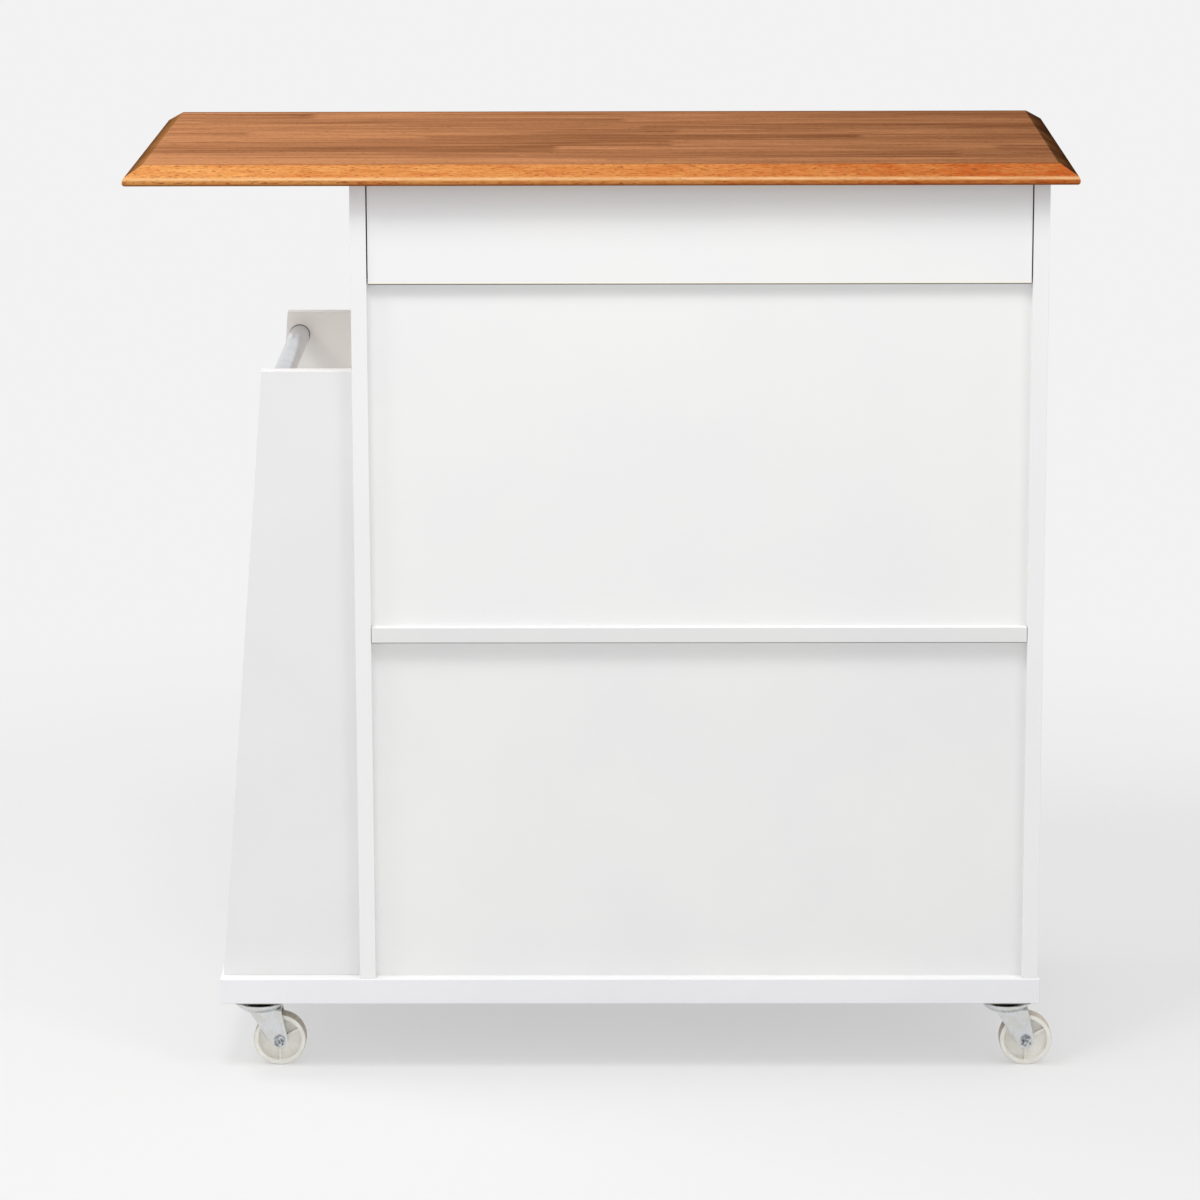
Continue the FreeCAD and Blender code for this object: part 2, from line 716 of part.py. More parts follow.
def hexagon(y, height):
    """A hexagon head on the axle, standing out from y."""
    radius = axle_head_width / math.sqrt(3)
    outline = [(x_axle + radius * math.cos(math.radians(60 * count)), y,
                z_axle + radius * math.sin(math.radians(60 * count))) for count in range(6)]
    return prism(outline, (0, height, 0))


def axle():
    """A bolt with its head outside one leg and its nut outside the other."""
    shank_end = -y_leg_outer - axle_head_height - axle_end
    shank = rod((x_axle, shank_end, z_axle), (x_axle, y_leg_outer, z_axle), axle_diameter,
                pin_sides)
    bolt = shank.fuse(hexagon(y_leg_outer, axle_head_height))
    nut = hexagon(-y_leg_outer - axle_head_height, axle_head_height).cut(shank)
    return group([bolt, nut])


def brake_pedal():
    """A boss on a pin, a foot plate above, and a curved shoe that follows the tread."""
    half = hub_width / 2 - side_play
    boss = rod((x_brake, -half, z_brake), (x_brake, half, z_brake), 2 * brake_boss_radius,
               pin_sides)
    pin = rod((x_brake, -y_leg_outer, z_brake), (x_brake, y_leg_outer, z_brake),
              brake_pin_diameter, bar_sides)
    z_foot = z_brake + brake_boss_radius
    foot = block(x_brake - brake_foot_reach, x_brake, -half, half,
                 z_foot - brake_foot_thickness, z_foot)
    toe = [e for e in upright_edges(foot) if e.CenterOfMass.x < x_brake - brake_foot_reach / 2]
    foot = foot.makeChamfer(plate_corner_clip, toe)
    inner = wheel_radius + brake_shoe_lift
    angles = [brake_pivot_angle + (brake_shoe_angle - brake_pivot_angle) * step / shoe_steps
              for step in range(shoe_steps + 1)]
    lower = [about_axle(inner, angle) for angle in angles]
    upper = [about_axle(inner + brake_shoe_thickness, angle) for angle in reversed(angles)]
    shoe = prism([(x, -wheel_width / 2, z) for x, z in lower + upper], (0, wheel_width, 0))
    return boss.fuse([pin, foot, shoe]).removeSplitter()


x_casters = {"left": x_left - base_lip + caster_end_inset_plain,
             "right": x_base_end - caster_end_inset_rack}
y_casters = {"front": y_front - base_lip + caster_side_inset,
             "rear": y_rear + base_lip - caster_side_inset}
corners = [(end, side, x_casters[side], y_casters[end]) for end in y_casters for side in x_casters]


def at_casters(shapes):
    return [moved(shape, x, y, z_base) for end, side, x, y in corners for shape in shapes]


screws = at_casters(plate_screws())
nodes["caster_plates"] = group(at_casters([caster_plate()]))
nodes["caster_kingpins"] = group(at_casters([kingpin()]))
nodes["caster_ball_rings"] = group(at_casters([ball_ring()]))
nodes["caster_screws"] = group(screws)
nodes["base_board"] = base.cut([upper_back, lower_back, dowels] + screws)
for end, side, x, y in corners:
    place = "_" + end + "_" + side
    nodes["caster_fork" + place] = moved(fork(end == "front"), x, y, z_base)
    nodes["caster_axle" + place] = moved(axle(), x, y, z_base)
    nodes["caster_wheel" + place] = moved(wheel(), x, y, z_base)
    if end == "front":
        nodes["brake_pedal_" + side] = moved(brake_pedal(), x, y, z_base)

os.makedirs("parts", exist_ok=True)
for name, shape in nodes.items():
    shape.exportStep("parts/" + name + ".step")
print(len(nodes), "nodes")
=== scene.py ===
import math
from functools import partial
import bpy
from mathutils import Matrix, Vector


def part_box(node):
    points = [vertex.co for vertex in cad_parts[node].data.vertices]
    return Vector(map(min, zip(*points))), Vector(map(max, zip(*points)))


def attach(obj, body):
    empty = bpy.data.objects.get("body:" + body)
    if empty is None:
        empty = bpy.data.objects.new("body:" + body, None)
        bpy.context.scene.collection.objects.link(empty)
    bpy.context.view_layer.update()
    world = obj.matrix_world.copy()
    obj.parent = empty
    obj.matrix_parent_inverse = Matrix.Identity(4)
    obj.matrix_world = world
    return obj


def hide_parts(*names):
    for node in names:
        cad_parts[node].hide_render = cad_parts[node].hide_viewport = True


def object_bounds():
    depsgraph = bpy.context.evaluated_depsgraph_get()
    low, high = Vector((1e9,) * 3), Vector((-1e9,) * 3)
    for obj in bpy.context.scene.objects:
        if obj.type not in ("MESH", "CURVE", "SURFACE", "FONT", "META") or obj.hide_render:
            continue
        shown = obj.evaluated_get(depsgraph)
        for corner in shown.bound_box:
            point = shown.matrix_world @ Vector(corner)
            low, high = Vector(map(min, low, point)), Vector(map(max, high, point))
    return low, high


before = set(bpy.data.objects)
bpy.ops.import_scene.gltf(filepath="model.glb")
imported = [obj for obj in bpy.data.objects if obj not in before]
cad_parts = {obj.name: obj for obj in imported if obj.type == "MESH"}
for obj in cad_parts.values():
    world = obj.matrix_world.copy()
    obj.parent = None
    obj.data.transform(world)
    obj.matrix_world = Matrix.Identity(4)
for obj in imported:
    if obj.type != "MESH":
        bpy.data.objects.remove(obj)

from types import SimpleNamespace

import bmesh
import bpy
from mathutils import Matrix, Vector

cadLow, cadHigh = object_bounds()
mm = 0.001
near = 0.1  # a corner this close to a plane, in mm, counts as lying in it
facing = 0.95  # a face with this much of its normal along an axis counts as facing that way
print("frame loaded")


# A kitchen island cart with its plain back to the camera: butcher block top, white cabinet on a
# thick base, open side rack with a towel bar, four swivel casters. All measures are in mm.


def linearColour(hexText):
    shares = [int(hexText[i:i + 2], 16) / 255 for i in (1, 3, 5)]
    return tuple(s / 12.92 if s <= 0.04045 else ((s + 0.055) / 1.055) ** 2.4 for s in shares) + (1,)


def addNode(material, kind, settings=None, links=None):
    node = material.node_tree.nodes.new("ShaderNode" + kind)
    for name, value in (settings or {}).items():
        setattr(node, name, value)
    for name, value in (links or {}).items():
        if isinstance(value, tuple) and isinstance(value[0], bpy.types.Node):
            material.node_tree.links.new(value[0].outputs[value[1]], node.inputs[name])
        else:
            node.inputs[name].default_value = value
    return node


# settings that many nodes share
times, timesPlus = {"operation": "MULTIPLY"}, {"operation": "MULTIPLY_ADD"}
larger, wholePart = {"operation": "MAXIMUM"}, {"operation": "FLOOR"}
unsigned, toAndFro = {"operation": "ABSOLUTE"}, {"operation": "PINGPONG"}
blend = {"data_type": "RGBA"}
noiseSpan = (0.3, 0.7)  # where most values of a noise lie


def newMaterial(name, colour, sockets):
    material = bpy.data.materials.new(name)
    material.use_nodes = True
    material.diffuse_color = linearColour(colour)
    shader = material.node_tree.nodes["Principled BSDF"]
    for socket, value in {"Base Color": linearColour(colour), **sockets}.items():
        shader.inputs[socket].default_value = value
    add = partial(addNode, material)
    return material, shader, add, add("TexCoord")


def linkTo(material, source, output, shader, socket):
    material.node_tree.links.new(source.outputs[output], shader.inputs[socket])


# Soft clouds between a finish's own colour and its cast.
def cloudColour(add, place, look, detail, span):
    cloud = add("TexNoise", links={
        "Vector": (place, "Object"), "Scale": 1 / (look.cloud * mm), "Detail": detail})
    tone = add("MapRange", links={0: (cloud, 0), 1: span[0], 2: span[1]})
    return add("Mix", blend, {0: (tone, 0), 6: linearColour(look.colour), 7: linearColour(look.cast)})


# Every finish ends alike: its colour, a gloss that follows a fine noise, and its relief.
def dress(material, shader, look, colour, noise, height, span=noiseSpan):
    smooth, rough = look.glossSpread
    sheen = addNode(material, "MapRange", links={
        0: (noise, 0), 1: span[0], 2: span[1], 3: look.roughness + smooth, 4: look.roughness + rough})
    bump = addNode(material, "Bump", links={
        "Height": (height, 0), "Strength": look.relief, "Distance": look.reliefDepth * mm})
    linkTo(material, colour, 2, shader, "Base Color")
    linkTo(material, sheen, 0, shader, "Roughness")
    linkTo(material, bump, 0, shader, "Normal")
    return material


# Oiled rubberwood, glued up from staves that run along X. Each stave has its own tone, a dark
# glue line, fine grain along its length and short open pores. Pores are 0.2 mm wide in the
# wood and drawn about 0.7 mm wide, so that they show.
blockLook = dict(
    light="#ac7650", mid="#96653e", dark="#6d4229", pit="#4a2a17", stave=44.0, shift=0.31,
    pieceLength=420.0, finger=4.4, fingerLean=2.4, jump=3.0, stretch=0.06, figure=13.0, grain=4.2,
    pore=1.1, poreStretch=0.16, poreFrom=0.6, poreDepth=0.6, line=7.5, lineDepth=0.42,
    toneSpread=0.6, figureSpread=1.5, grainSpread=1.1, glueWidth=0.5, glueDepth=0.35,
    roughness=0.55, glossSpread=(-0.06, 0.08), relief=0.35, reliefDepth=0.15, shine=0.0,
    mellow=0.8, soaked=None, rubbed=0.0)


def oiledWood(name, **changes):
    look = SimpleNamespace(**dict(blockLook, **changes))
    material, shader, add, place = newMaterial(name, look.mid, {
        "Roughness": look.roughness, "Specular IOR Level": look.shine})
    apart = add("SeparateXYZ", links={0: (place, "Object")})
    row = add("Math", timesPlus, {0: (apart, "Y"), 1: 1 / (look.stave * mm), 2: look.shift})
    rowNumber = add("Math", wholePart, {0: (row, 0)})
    rowRandom = add("TexWhiteNoise", {"noise_dimensions": "1D"}, {"W": (rowNumber, 0)})
    # finger joints between the pieces of a stave
    finger = add("Math", toAndFro, {0: (apart, "Y"), 1: look.finger * mm})
    along = add("Math", timesPlus, {0: (finger, 0), 1: look.fingerLean, 2: (apart, "X")})
    piece = add("Math", timesPlus, {
        0: (along, 0), 1: 1 / (look.pieceLength * mm), 2: (rowRandom, "Value")})
    pieceNumber = add("Math", wholePart, {0: (piece, 0)})
    cell = add("CombineXYZ", links={0: (rowNumber, 0), 1: (pieceNumber, 0)})
    cellRandom = add("TexWhiteNoise", {"noise_dimensions": "3D"}, {"Vector": (cell, 0)})
    # the grain starts somewhere else in every piece
    start = add("VectorMath", timesPlus, {
        0: (cellRandom, "Color"), 1: (look.jump,) * 3, 2: (place, "Object")})
    layers = {}
    for layer, size, stretch, detail, roughness, distortion in (
            ("figure", look.figure, look.stretch, 3.0, 0.55, 0.6),
            ("grain", look.grain, look.stretch, 4.0, 0.7, 0.0),
            ("pores", look.pore, look.poreStretch, 1.5, 0.5, 0.0),
            ("lines", look.line, look.stretch * 0.5, 2.0, 0.6, 0.0)):
        shape = add("VectorMath", times, {0: (start, 0), 1: (stretch, 1.0, 1.0)})
        layers[layer] = add("TexNoise", links={
            "Vector": (shape, 0), "Scale": 1 / (size * mm), "Detail": detail,
            "Roughness": roughness, "Distortion": distortion})
    figure, fine = layers["figure"], layers["grain"]
    pores = add("MapRange", links={
        0: (layers["pores"], 0), 1: look.poreFrom, 2: look.poreFrom + 0.08, 3: 0.0,
        4: look.poreDepth})
    # dark vessel lines run along the piece
    lines = add("MapRange", links={0: (layers["lines"], 0), 1: 0.55, 2: 0.7, 3: 0.0, 4: look.lineDepth})
    spreads = (look.toneSpread, look.figureSpread, look.grainSpread)
    pieceTone = add("Math", timesPlus, {
        0: (cellRandom, "Value"), 1: look.toneSpread, 2: 0.5 - sum(spreads) / 2})
    # painted light: lighter toward +X and darker toward -X, for how the light falls along the top
    mellow = add("Math", timesPlus, {0: (apart, "X"), 1: -look.mellow, 2: (pieceTone, 0)})
    figureTone = add("Math", timesPlus, {0: (figure, 0), 1: look.figureSpread, 2: (mellow, 0)})
    tone = add("Math", {"operation": "MULTIPLY_ADD", "use_clamp": True}, {
        0: (fine, 0), 1: look.grainSpread, 2: (figureTone, 0)})
    colour = add("Mix", blend, {0: (tone, 0), 6: linearColour(look.light), 7: linearColour(look.dark)})
    inStave = add("Math", toAndFro, {0: (row, 0), 1: 0.5})
    glue = add("MapRange", links={
        0: (inStave, 0), 1: 0.0, 2: look.glueWidth / look.stave, 3: look.glueDepth, 4: 0.0})
    worn = add("Math", larger, {0: (pores, 0), 1: (glue, 0)})
    marks = add("Math", larger, {0: (worn, 0), 1: (lines, 0)})
    if look.soaked:  # darker in a band: along the front of the top face, toward the outer edge of each end, and painted shade along the underside of the lip
        axis, first, last, depth = look.soaked
        if axis == "Y":
            out = add("Math", times, {0: (apart, axis), 1: -1.0})
        else:
            out = add("Math", unsigned, {0: (apart, axis)})
        soaked = add("MapRange", links={0: (out, 0), 1: first * mm, 2: last * mm, 3: 0.0, 4: depth})
        marks = add("Math", larger, {0: (marks, 0), 1: (soaked, 0)})
    marked = add("Mix", blend, {0: (marks, 0), 6: (colour, 2), 7: linearColour(look.pit)})
    if look.rubbed:  # painted highlight: a pale band along the lip, patchy with the figure
        away = add("Math", {"operation": "SUBTRACT"}, {0: (apart, "Z"), 1: look.rubbedHeight * mm})
        far = add("Math", unsigned, {0: (away, 0)})
        rubbed = add("MapRange", links={
            0: (far, 0), 1: 0.0, 2: look.rubbedHalf * mm, 3: look.rubbed, 4: 0.0})
        patchy = add("Math", {"operation": "MULTIPLY", "use_clamp": True}, {
            0: (rubbed, 0), 1: (figure, 0)})
        marked = add("Mix", blend, {0: (patchy, 0), 6: (marked, 2), 7: linearColour(look.rubbedColour)})
    height = add("Math", timesPlus, {0: (pores, 0), 1: -1.0, 2: (fine, 0)})
    return dress(material, shader, look, marked, fine, height)


# matt brown, darker in a strip along the front
topFaceWood = oiledWood("oiled rubberwood, top face", soaked=("Y", 197.0, 205.0, 0.85))
# more orange and finer in grain, with a painted highlight along its lip and painted shade under it
edgeWood = oiledWood(
    "oiled rubberwood, long bevel", light="#cb9050", mid="#ab6429", dark="#a84f14", pit="#6b330d",
    shine=0.1, stretch=0.2, figure=8.0, grain=1.8, pore=0.9, poreFrom=0.585, poreDepth=0.75,
    line=2.4, lineDepth=0.16, toneSpread=0.4, figureSpread=1.1, grainSpread=1.2,
    rubbedHeight=873.6, rubbedHalf=2.2, rubbed=1.3, rubbedColour="#ecc08a",
    soaked=("Z", 869.4, 867.6, 0.8))
# darkest: end grain takes up more oil, and painted shade on the ends, deepest toward -X
endGrainAndShadeWood = oiledWood(
    "oiled rubberwood, end grain", light="#8f6038", mid="#6b4426", dark="#452817", pit="#241208",
    mellow=1.15, soaked=("X", 428.0, 447.0, 0.85))
# Clear-coated pine for the drawer boxes: pale, with wide soft figure and hardly any pores.
clearPine = oiledWood(
    "clear-coated pine", light="#e6cfa6", mid="#dcc093", dark="#c9a473", pit="#b48a58",
    stave=140.0, pieceLength=2000.0, figure=16.0, poreDepth=0.25, lineDepth=0.2, toneSpread=0.3,
    figureSpread=1.0, grainSpread=0.5, glueDepth=0.1, roughness=0.42, shine=0.4, mellow=0.0)


# White boards. A laminate face has a faint moulded orange peel, an edge band is smoother, and
# painted hardboard shows the roller's stipple and a few tiny specks.
laminateLook = dict(
    colour="#f1f1f0", cast="#efeff0", roughness=0.42, cloud=120.0, peel=1.4, relief=0.12,
    reliefDepth=0.1, glossSpread=(-0.05, 0.05), shine=0.4, speckPitch=95.0, speck=1.2,
    speckDepth=0.0, speckColour="#b9b6b0", speckRarity=0.86, speckRise=1.5)


def whiteFinish(name, **changes):
    look = SimpleNamespace(**dict(laminateLook, **changes))
    material, shader, add, place = newMaterial(name, look.colour, {
        "Roughness": look.roughness, "Specular IOR Level": look.shine})
    clouded = cloudColour(add, place, look, 3.0, noiseSpan)
    peel = add("TexNoise", links={
        "Vector": (place, "Object"), "Scale": 1 / (look.peel * mm), "Detail": 3.0,
        "Roughness": 0.6})
    spots = add("TexVoronoi", {"feature": "F1"}, {
        "Vector": (place, "Object"), "Scale": 1 / (look.speckPitch * mm)})
    rare = add("SeparateXYZ", links={0: (spots, "Color")})
    chosen = add("Math", {"operation": "GREATER_THAN"}, {0: (rare, 0), 1: look.speckRarity})
    reach = look.speck / look.speckPitch
    dot = add("MapRange", links={0: (spots, "Distance"), 1: reach * 0.4, 2: reach, 3: 1.0, 4: 0.0})
    speck = add("Math", times, {0: (chosen, 0), 1: (dot, 0)})
    fleck = add("Math", times, {0: (speck, 0), 1: look.speckDepth})
    flecked = add("Mix", blend, {0: (fleck, 0), 6: (clouded, 2), 7: linearColour(look.speckColour)})
    height = add("Math", timesPlus, {0: (speck, 0), 1: look.speckRise, 2: (peel, 0)})
    return dress(material, shader, look, flecked, peel, height)


laminate = whiteFinish("white melamine laminate")
# painted shade: a greyer sheet outside the rack, where less light falls; painted light: a warmer,
# brighter sheet inside it, for warm light bounced off the wood
shadedRackLaminate = whiteFinish("white melamine laminate, rack boards", colour="#eaeaea", cast="#e6e6e7")
bounceLitLaminate = whiteFinish("white melamine laminate, warmer inside", colour="#fcf9f5", cast="#faf6f0")
# PVC bands, smoother and glossier than the faces, each a shade apart
edgeBand = whiteFinish(
    "white PVC edge band", colour="#f0f0f0", cast="#eeeeef", roughness=0.34, peel=3.0, relief=0.06)
shelfBand = whiteFinish(
    "white PVC edge band, shelf", colour="#e6e6e5", cast="#e3e3e3", roughness=0.36, peel=3.0,
    relief=0.08)
baseBand = whiteFinish(
    "white PVC edge band, thick base", colour="#efeff1", cast="#ebebee", roughness=0.36, peel=3.0,
    relief=0.08)
creamBand = whiteFinish(
    "cream PVC band, its own edge", colour="#fbf6e9", cast="#f7f1e2", roughness=0.36, peel=3.0,
    relief=0.05)
# brown chips, rough and matt
chipboard = whiteFinish(
    "raw chipboard, sawn end", colour="#7a6346", cast="#564230", roughness=0.85, cloud=2.5,
    relief=0.5)
# painted shade: a dull grey line for the contact shadow under an arris
paintedShadeLine = whiteFinish("grey glue line", colour="#85827c", cast="#77746f", roughness=0.7, peel=1.0)
hardboardLook = dict(
    colour="#f0f0ef", cast="#eeeeee", roughness=0.5, peel=2.2, relief=0.2, speckDepth=0.55)
hardboard = whiteFinish("white painted hardboard", **hardboardLook)
# painted shade: the lower back panel is a shade greyer, as less light reaches lower down
hardboardLook.update(colour="#eeeeed", cast="#ebebeb")
shadedLowerHardboard = whiteFinish("white painted hardboard, greyer sheet", **hardboardLook)
# a fine spark-eroded grain from the mould
absPlastic = whiteFinish(
    "white ABS, moulded", colour="#ecebe8", cast="#e8e7e3", roughness=0.4, peel=0.8, relief=0.1)


# Metals: zinc plate is bright, with a cloudy blue and straw cast from its chromate bath.
zincLook = dict(colour="#d9dbde", cast="#d4d3cd", roughness=0.26, stretch=(1, 1, 1), streak=0.9,
                cloud=9.0, relief=0.2, reliefDepth=0.04, glossSpread=(-0.07, 0.1))


def platedMetal(name, **changes):
    look = SimpleNamespace(**dict(zincLook, **changes))
    material, shader, add, place = newMaterial(name, look.colour, {
        "Roughness": look.roughness, "Metallic": 1.0})
    stretched = add("VectorMath", times, {0: (place, "Object"), 1: look.stretch})
    streak = add("TexNoise", links={
        "Vector": (stretched, 0), "Scale": 1 / (look.streak * mm), "Detail": 4.0,
        "Roughness": 0.65})
    colour = cloudColour(add, place, look, 2.0, (0.38, 0.66))
    return dress(material, shader, look, colour, streak, streak, (0.25, 0.75))


zincPlate = platedMetal("bright zinc plate")
# barrel-plated: darker and smoother. The axle bolts carry painted reflections: dark clouds that stand in
# for dark glints.
zincBolt = platedMetal(
    "zinc bolts and screws", colour="#c3c6ca", cast="#a9a69b", roughness=0.16, cloud=3.0,
    streak=0.4)
darkGlintAxleSteel = platedMetal(
    "zinc bolt, oily in its corners", colour="#d3d6da", cast="#3d444b", roughness=0.18, cloud=3.6,
    streak=0.4)
# painted shade: dark, dull steel on the plate's edges and pressed race, which sit in the base's shade
shadedPlateSteel = platedMetal(
    "greased steel, ball race and sheared edges", colour="#565c61", cast="#6f6a55", roughness=0.3,
    cloud=5.0)
# ground and polished, like a dark mirror
ballSteel = platedMetal(
    "polished ball steel", colour="#b9babc", cast="#a8a59c", roughness=0.16, relief=0.05)
# hot-dip zinc, grey with a soft spangle
runnerSteel = platedMetal(
    "galvanised runner steel", colour="#c4c7c9", cast="#b3b6b6", roughness=0.36, cloud=6.0)
# bright streaks along the bar, and short soft ones on the pulls
satinBar = platedMetal(
    "bright nickel tube, polished lengthwise", colour="#cfd2d7", cast="#bfc4c8", roughness=0.14,
    stretch=(1, 0.03, 1), streak=0.5, cloud=30.0, relief=0.08)
satinPull = platedMetal(
    "satin nickel pulls", colour="#bdbab5", cast="#b4b0a8", roughness=0.28, streak=0.35,
    cloud=30.0, relief=0.15)


# Cast nylon wheels: creamy, a little translucent, with a fine moulding texture.
nylonLook = dict(colour="#faf8f2", cast="#f2efe6", roughness=0.42, glossSpread=(-0.08, 0.08),
                 cloud=7.0, grit=0.5, relief=0.2, reliefDepth=0.06, translucence=0.12,
                 lightDepth=1.5)


def castNylon(name, **changes):
    look = SimpleNamespace(**dict(nylonLook, **changes))
    material, shader, add, place = newMaterial(name, look.colour, {
        "Roughness": look.roughness, "IOR": 1.53, "Subsurface Weight": look.translucence,
        "Subsurface Radius": (1.0, 0.85, 0.65), "Subsurface Scale": look.lightDepth * mm})
    grit = add("TexNoise", links={
        "Vector": (place, "Object"), "Scale": 1 / (look.grit * mm), "Detail": 3.0})
    colour = cloudColour(add, place, look, 3.0, (0.35, 0.7))
    return dress(material, shader, look, colour, grit, grit)


nylon = castNylon("cream cast nylon")
# the tread is grey-brown: dirt from the floor, and painted shade along the wheel's rim
dirtAndShadeTreadNylon = castNylon(
    "cream cast nylon, rolled tread", colour="#d6ccbc", cast="#baae9b", roughness=0.55, cloud=3.0)
print("materials made")


# Working on meshes.
def makeActive(piece):
    if bpy.context.object and bpy.context.object.mode != "OBJECT":
        bpy.ops.object.mode_set(mode="OBJECT")
    bpy.ops.object.select_all(action="DESELECT")
    if piece:
        piece.select_set(True)
        bpy.context.view_layer.objects.active = piece


def settle(piece):  # the place goes into the mesh
    makeActive(piece)
    bpy.ops.object.transform_apply(location=True, rotation=True, scale=True)
    return piece


def addBlock(low, high):
    low, high = Vector(low) * mm, Vector(high) * mm
    makeActive(None)
    bpy.ops.mesh.primitive_cube_add(size=1, location=(low + high) / 2)
    block = bpy.context.object
    block.scale = high - low
    return settle(block)


def addRod(start, end, radius, corners=32):
    start, end = Vector(start) * mm, Vector(end) * mm
    makeActive(None)
    bpy.ops.mesh.primitive_cylinder_add(vertices=corners, radius=radius * mm,
                                        depth=(end - start).length, location=(start + end) / 2)
    rod = bpy.context.object
    rod.rotation_euler = (end - start).to_track_quat("Z", "Y").to_euler()
    return settle(rod)


def editMesh(piece, action="SELECT", kind="EDGE"):
    makeActive(piece)
    bpy.ops.object.mode_set(mode="EDIT")
    bpy.ops.mesh.select_mode(type=kind)
    bpy.ops.mesh.select_all(action=action)


def tidyNormals(piece):
    editMesh(piece)
    bpy.ops.mesh.remove_doubles(threshold=0.002 * mm)
    bpy.ops.mesh.normals_make_consistent(inside=False)
    bpy.ops.object.mode_set(mode="OBJECT")
    return piece


def outlineRing(points):  # a closed ring of corners, ready to be spun or filled
    makeActive(None)
    bpy.ops.mesh.primitive_circle_add(vertices=len(points), radius=mm)
    ring = bpy.context.object
    for vertex, point in zip(ring.data.vertices, points):
        vertex.co = Vector(point) * mm
    editMesh(ring)
    return ring


def pushOutline(points, run):
    piece = outlineRing(points)
    bpy.ops.mesh.edge_face_add()
    bpy.ops.mesh.extrude_region_move(TRANSFORM_OT_translate={"value": Vector(run) * mm})
    return tidyNormals(piece)


def spinProfile(profile, centre=(0, 0, 0), axis="Z", steps=64):
    piece = outlineRing([(radius, 0, height) for radius, height in profile])
    bpy.ops.mesh.spin(steps=steps, angle=2 * math.pi, center=(0, 0, 0), axis=(0, 0, 1))
    tidyNormals(piece)
    turns = {"Z": (0, 0, 0), "Y": (-math.pi / 2, 0, 0), "X": (0, math.pi / 2, 0)}
    piece.rotation_euler = turns[axis]
    piece.location = Vector(centre) * mm
    return settle(piece)


def mirrored(half):  # an outline that is alike on both sides of its middle
    return half + [(across, -along) for across, along in reversed(half)]


def barrel(centre, length, radius, ease, axis="Z", steps=32, bore=0.0):
    half = length / 2
    return spinProfile(mirrored([(bore, -half), (radius - ease, -half), (radius, ease - half)]),
                       centre, axis, steps)


def useModifier(piece, kind, settings):
    modifier = piece.modifiers.new(kind.lower(), kind)
    for name, value in settings.items():
        setattr(modifier, name, value)
    makeActive(piece)
    bpy.ops.object.modifier_apply(modifier=modifier.name)
    return piece


def combine(piece, tools, operation="DIFFERENCE"):
    for tool in tools:
        useModifier(piece, "BOOLEAN", {"operation": operation, "solver": "EXACT", "object": tool})
        bpy.data.objects.remove(tool)
    return piece


def joinPieces(pieces):
    makeActive(pieces[0])
    for piece in pieces:
        piece.select_set(True)
    bpy.ops.object.join()
    return bpy.context.object


def roundArrises(piece, width, segments=3, sharper=30):
    return useModifier(piece, "BEVEL", {
        "width": width * mm, "segments": segments, "limit_method": "ANGLE",
        "angle_limit": math.radians(sharper)})


def bevelEdges(piece, test, width, segments):  # the test gets both ends of an edge, in mm
    editMesh(piece, "DESELECT")
    bpy.ops.object.mode_set(mode="OBJECT")
    corners = [vertex.co / mm for vertex in piece.data.vertices]
    for edge in piece.data.edges:
        edge.select = test(*(corners[index] for index in edge.vertices))
    bpy.ops.object.mode_set(mode="EDIT")
    bpy.ops.mesh.bevel(offset=width * mm, segments=segments, affect="EDGES")
    bpy.ops.object.mode_set(mode="OBJECT")
    return piece


def pickFace(piece, direction):
    editMesh(piece, "DESELECT", "FACE")
    bpy.ops.object.mode_set(mode="OBJECT")
    for face in piece.data.polygons:
        face.select = face.normal.dot(direction) > facing
    bpy.ops.object.mode_set(mode="EDIT")


def copyOf(piece, shift):
    twin = piece.copy()
    twin.data = piece.data.copy()
    bpy.context.scene.collection.objects.link(twin)
    twin.data.transform(Matrix.Translation(Vector(shift) * mm))
    return twin


def paintFaces(piece, materials, choose):  # choose gives the number of a face's material
    for material in materials:
        piece.data.materials.append(material)
    for face in piece.data.polygons:
        face.material_index = choose(face.normal, face.center / mm)


sideWords = ("left", "right", "upper", "lower", "rear", "front")
ownNames = {"front_stretcher": "frontStretcher", "caster_ball_rings": "casterBalls"}


def pieceName(node):  # left_side_panel gives sidePanelLeft
    words = sorted(node.split("_"), key=lambda word: word in sideWords)
    return ownNames.get(node, words[0] + "".join(word.capitalize() for word in words[1:]))


def finish(piece, node, material=None, body="cabinet", name=None, smooth=32):
    piece.name = piece.data.name = name or pieceName(node)
    settle(piece)
    bpy.ops.object.shade_smooth_by_angle(angle=math.radians(smooth))
    useModifier(piece, "WEIGHTED_NORMAL", {"keep_sharp": True})  # flat faces stay flat
    if material:  # a painted piece has its own
        piece.data.materials.append(material)
    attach(piece, body)
    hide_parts(node)


def boxOf(node):
    low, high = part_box(node)
    return Vector(low) / mm, Vector(high) / mm


def solidBoxes(node):  # the box of each separate solid in a CAD node, from left to right
    mesh = bmesh.new()
    mesh.from_mesh(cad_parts[node].data)
    bmesh.ops.remove_doubles(mesh, verts=mesh.verts, dist=0.001 * mm)
    left, boxes = set(mesh.verts), []
    while left:
        found = [left.pop()]
        for vertex in found:  # the list grows while it is walked
            for edge in vertex.link_edges:
                other = edge.other_vert(vertex)
                if other in left:
                    left.remove(other)
                    found.append(other)
        boxes.append(tuple(Vector(pick(vertex.co[axis] for vertex in found) for axis in range(3)) / mm
                           for pick in (min, max)))
    mesh.free()
    return sorted(boxes, key=lambda box: [round(value) for value in box[0]])


# Butcher block top: a thin edge, a wide bevel with mitred corners, all its arrises eased.
topSizes = dict(edgeHeight=7.3, bevelRun=18.0, lowerRound=3.0, lipRound=3.4, upperRound=1.2)


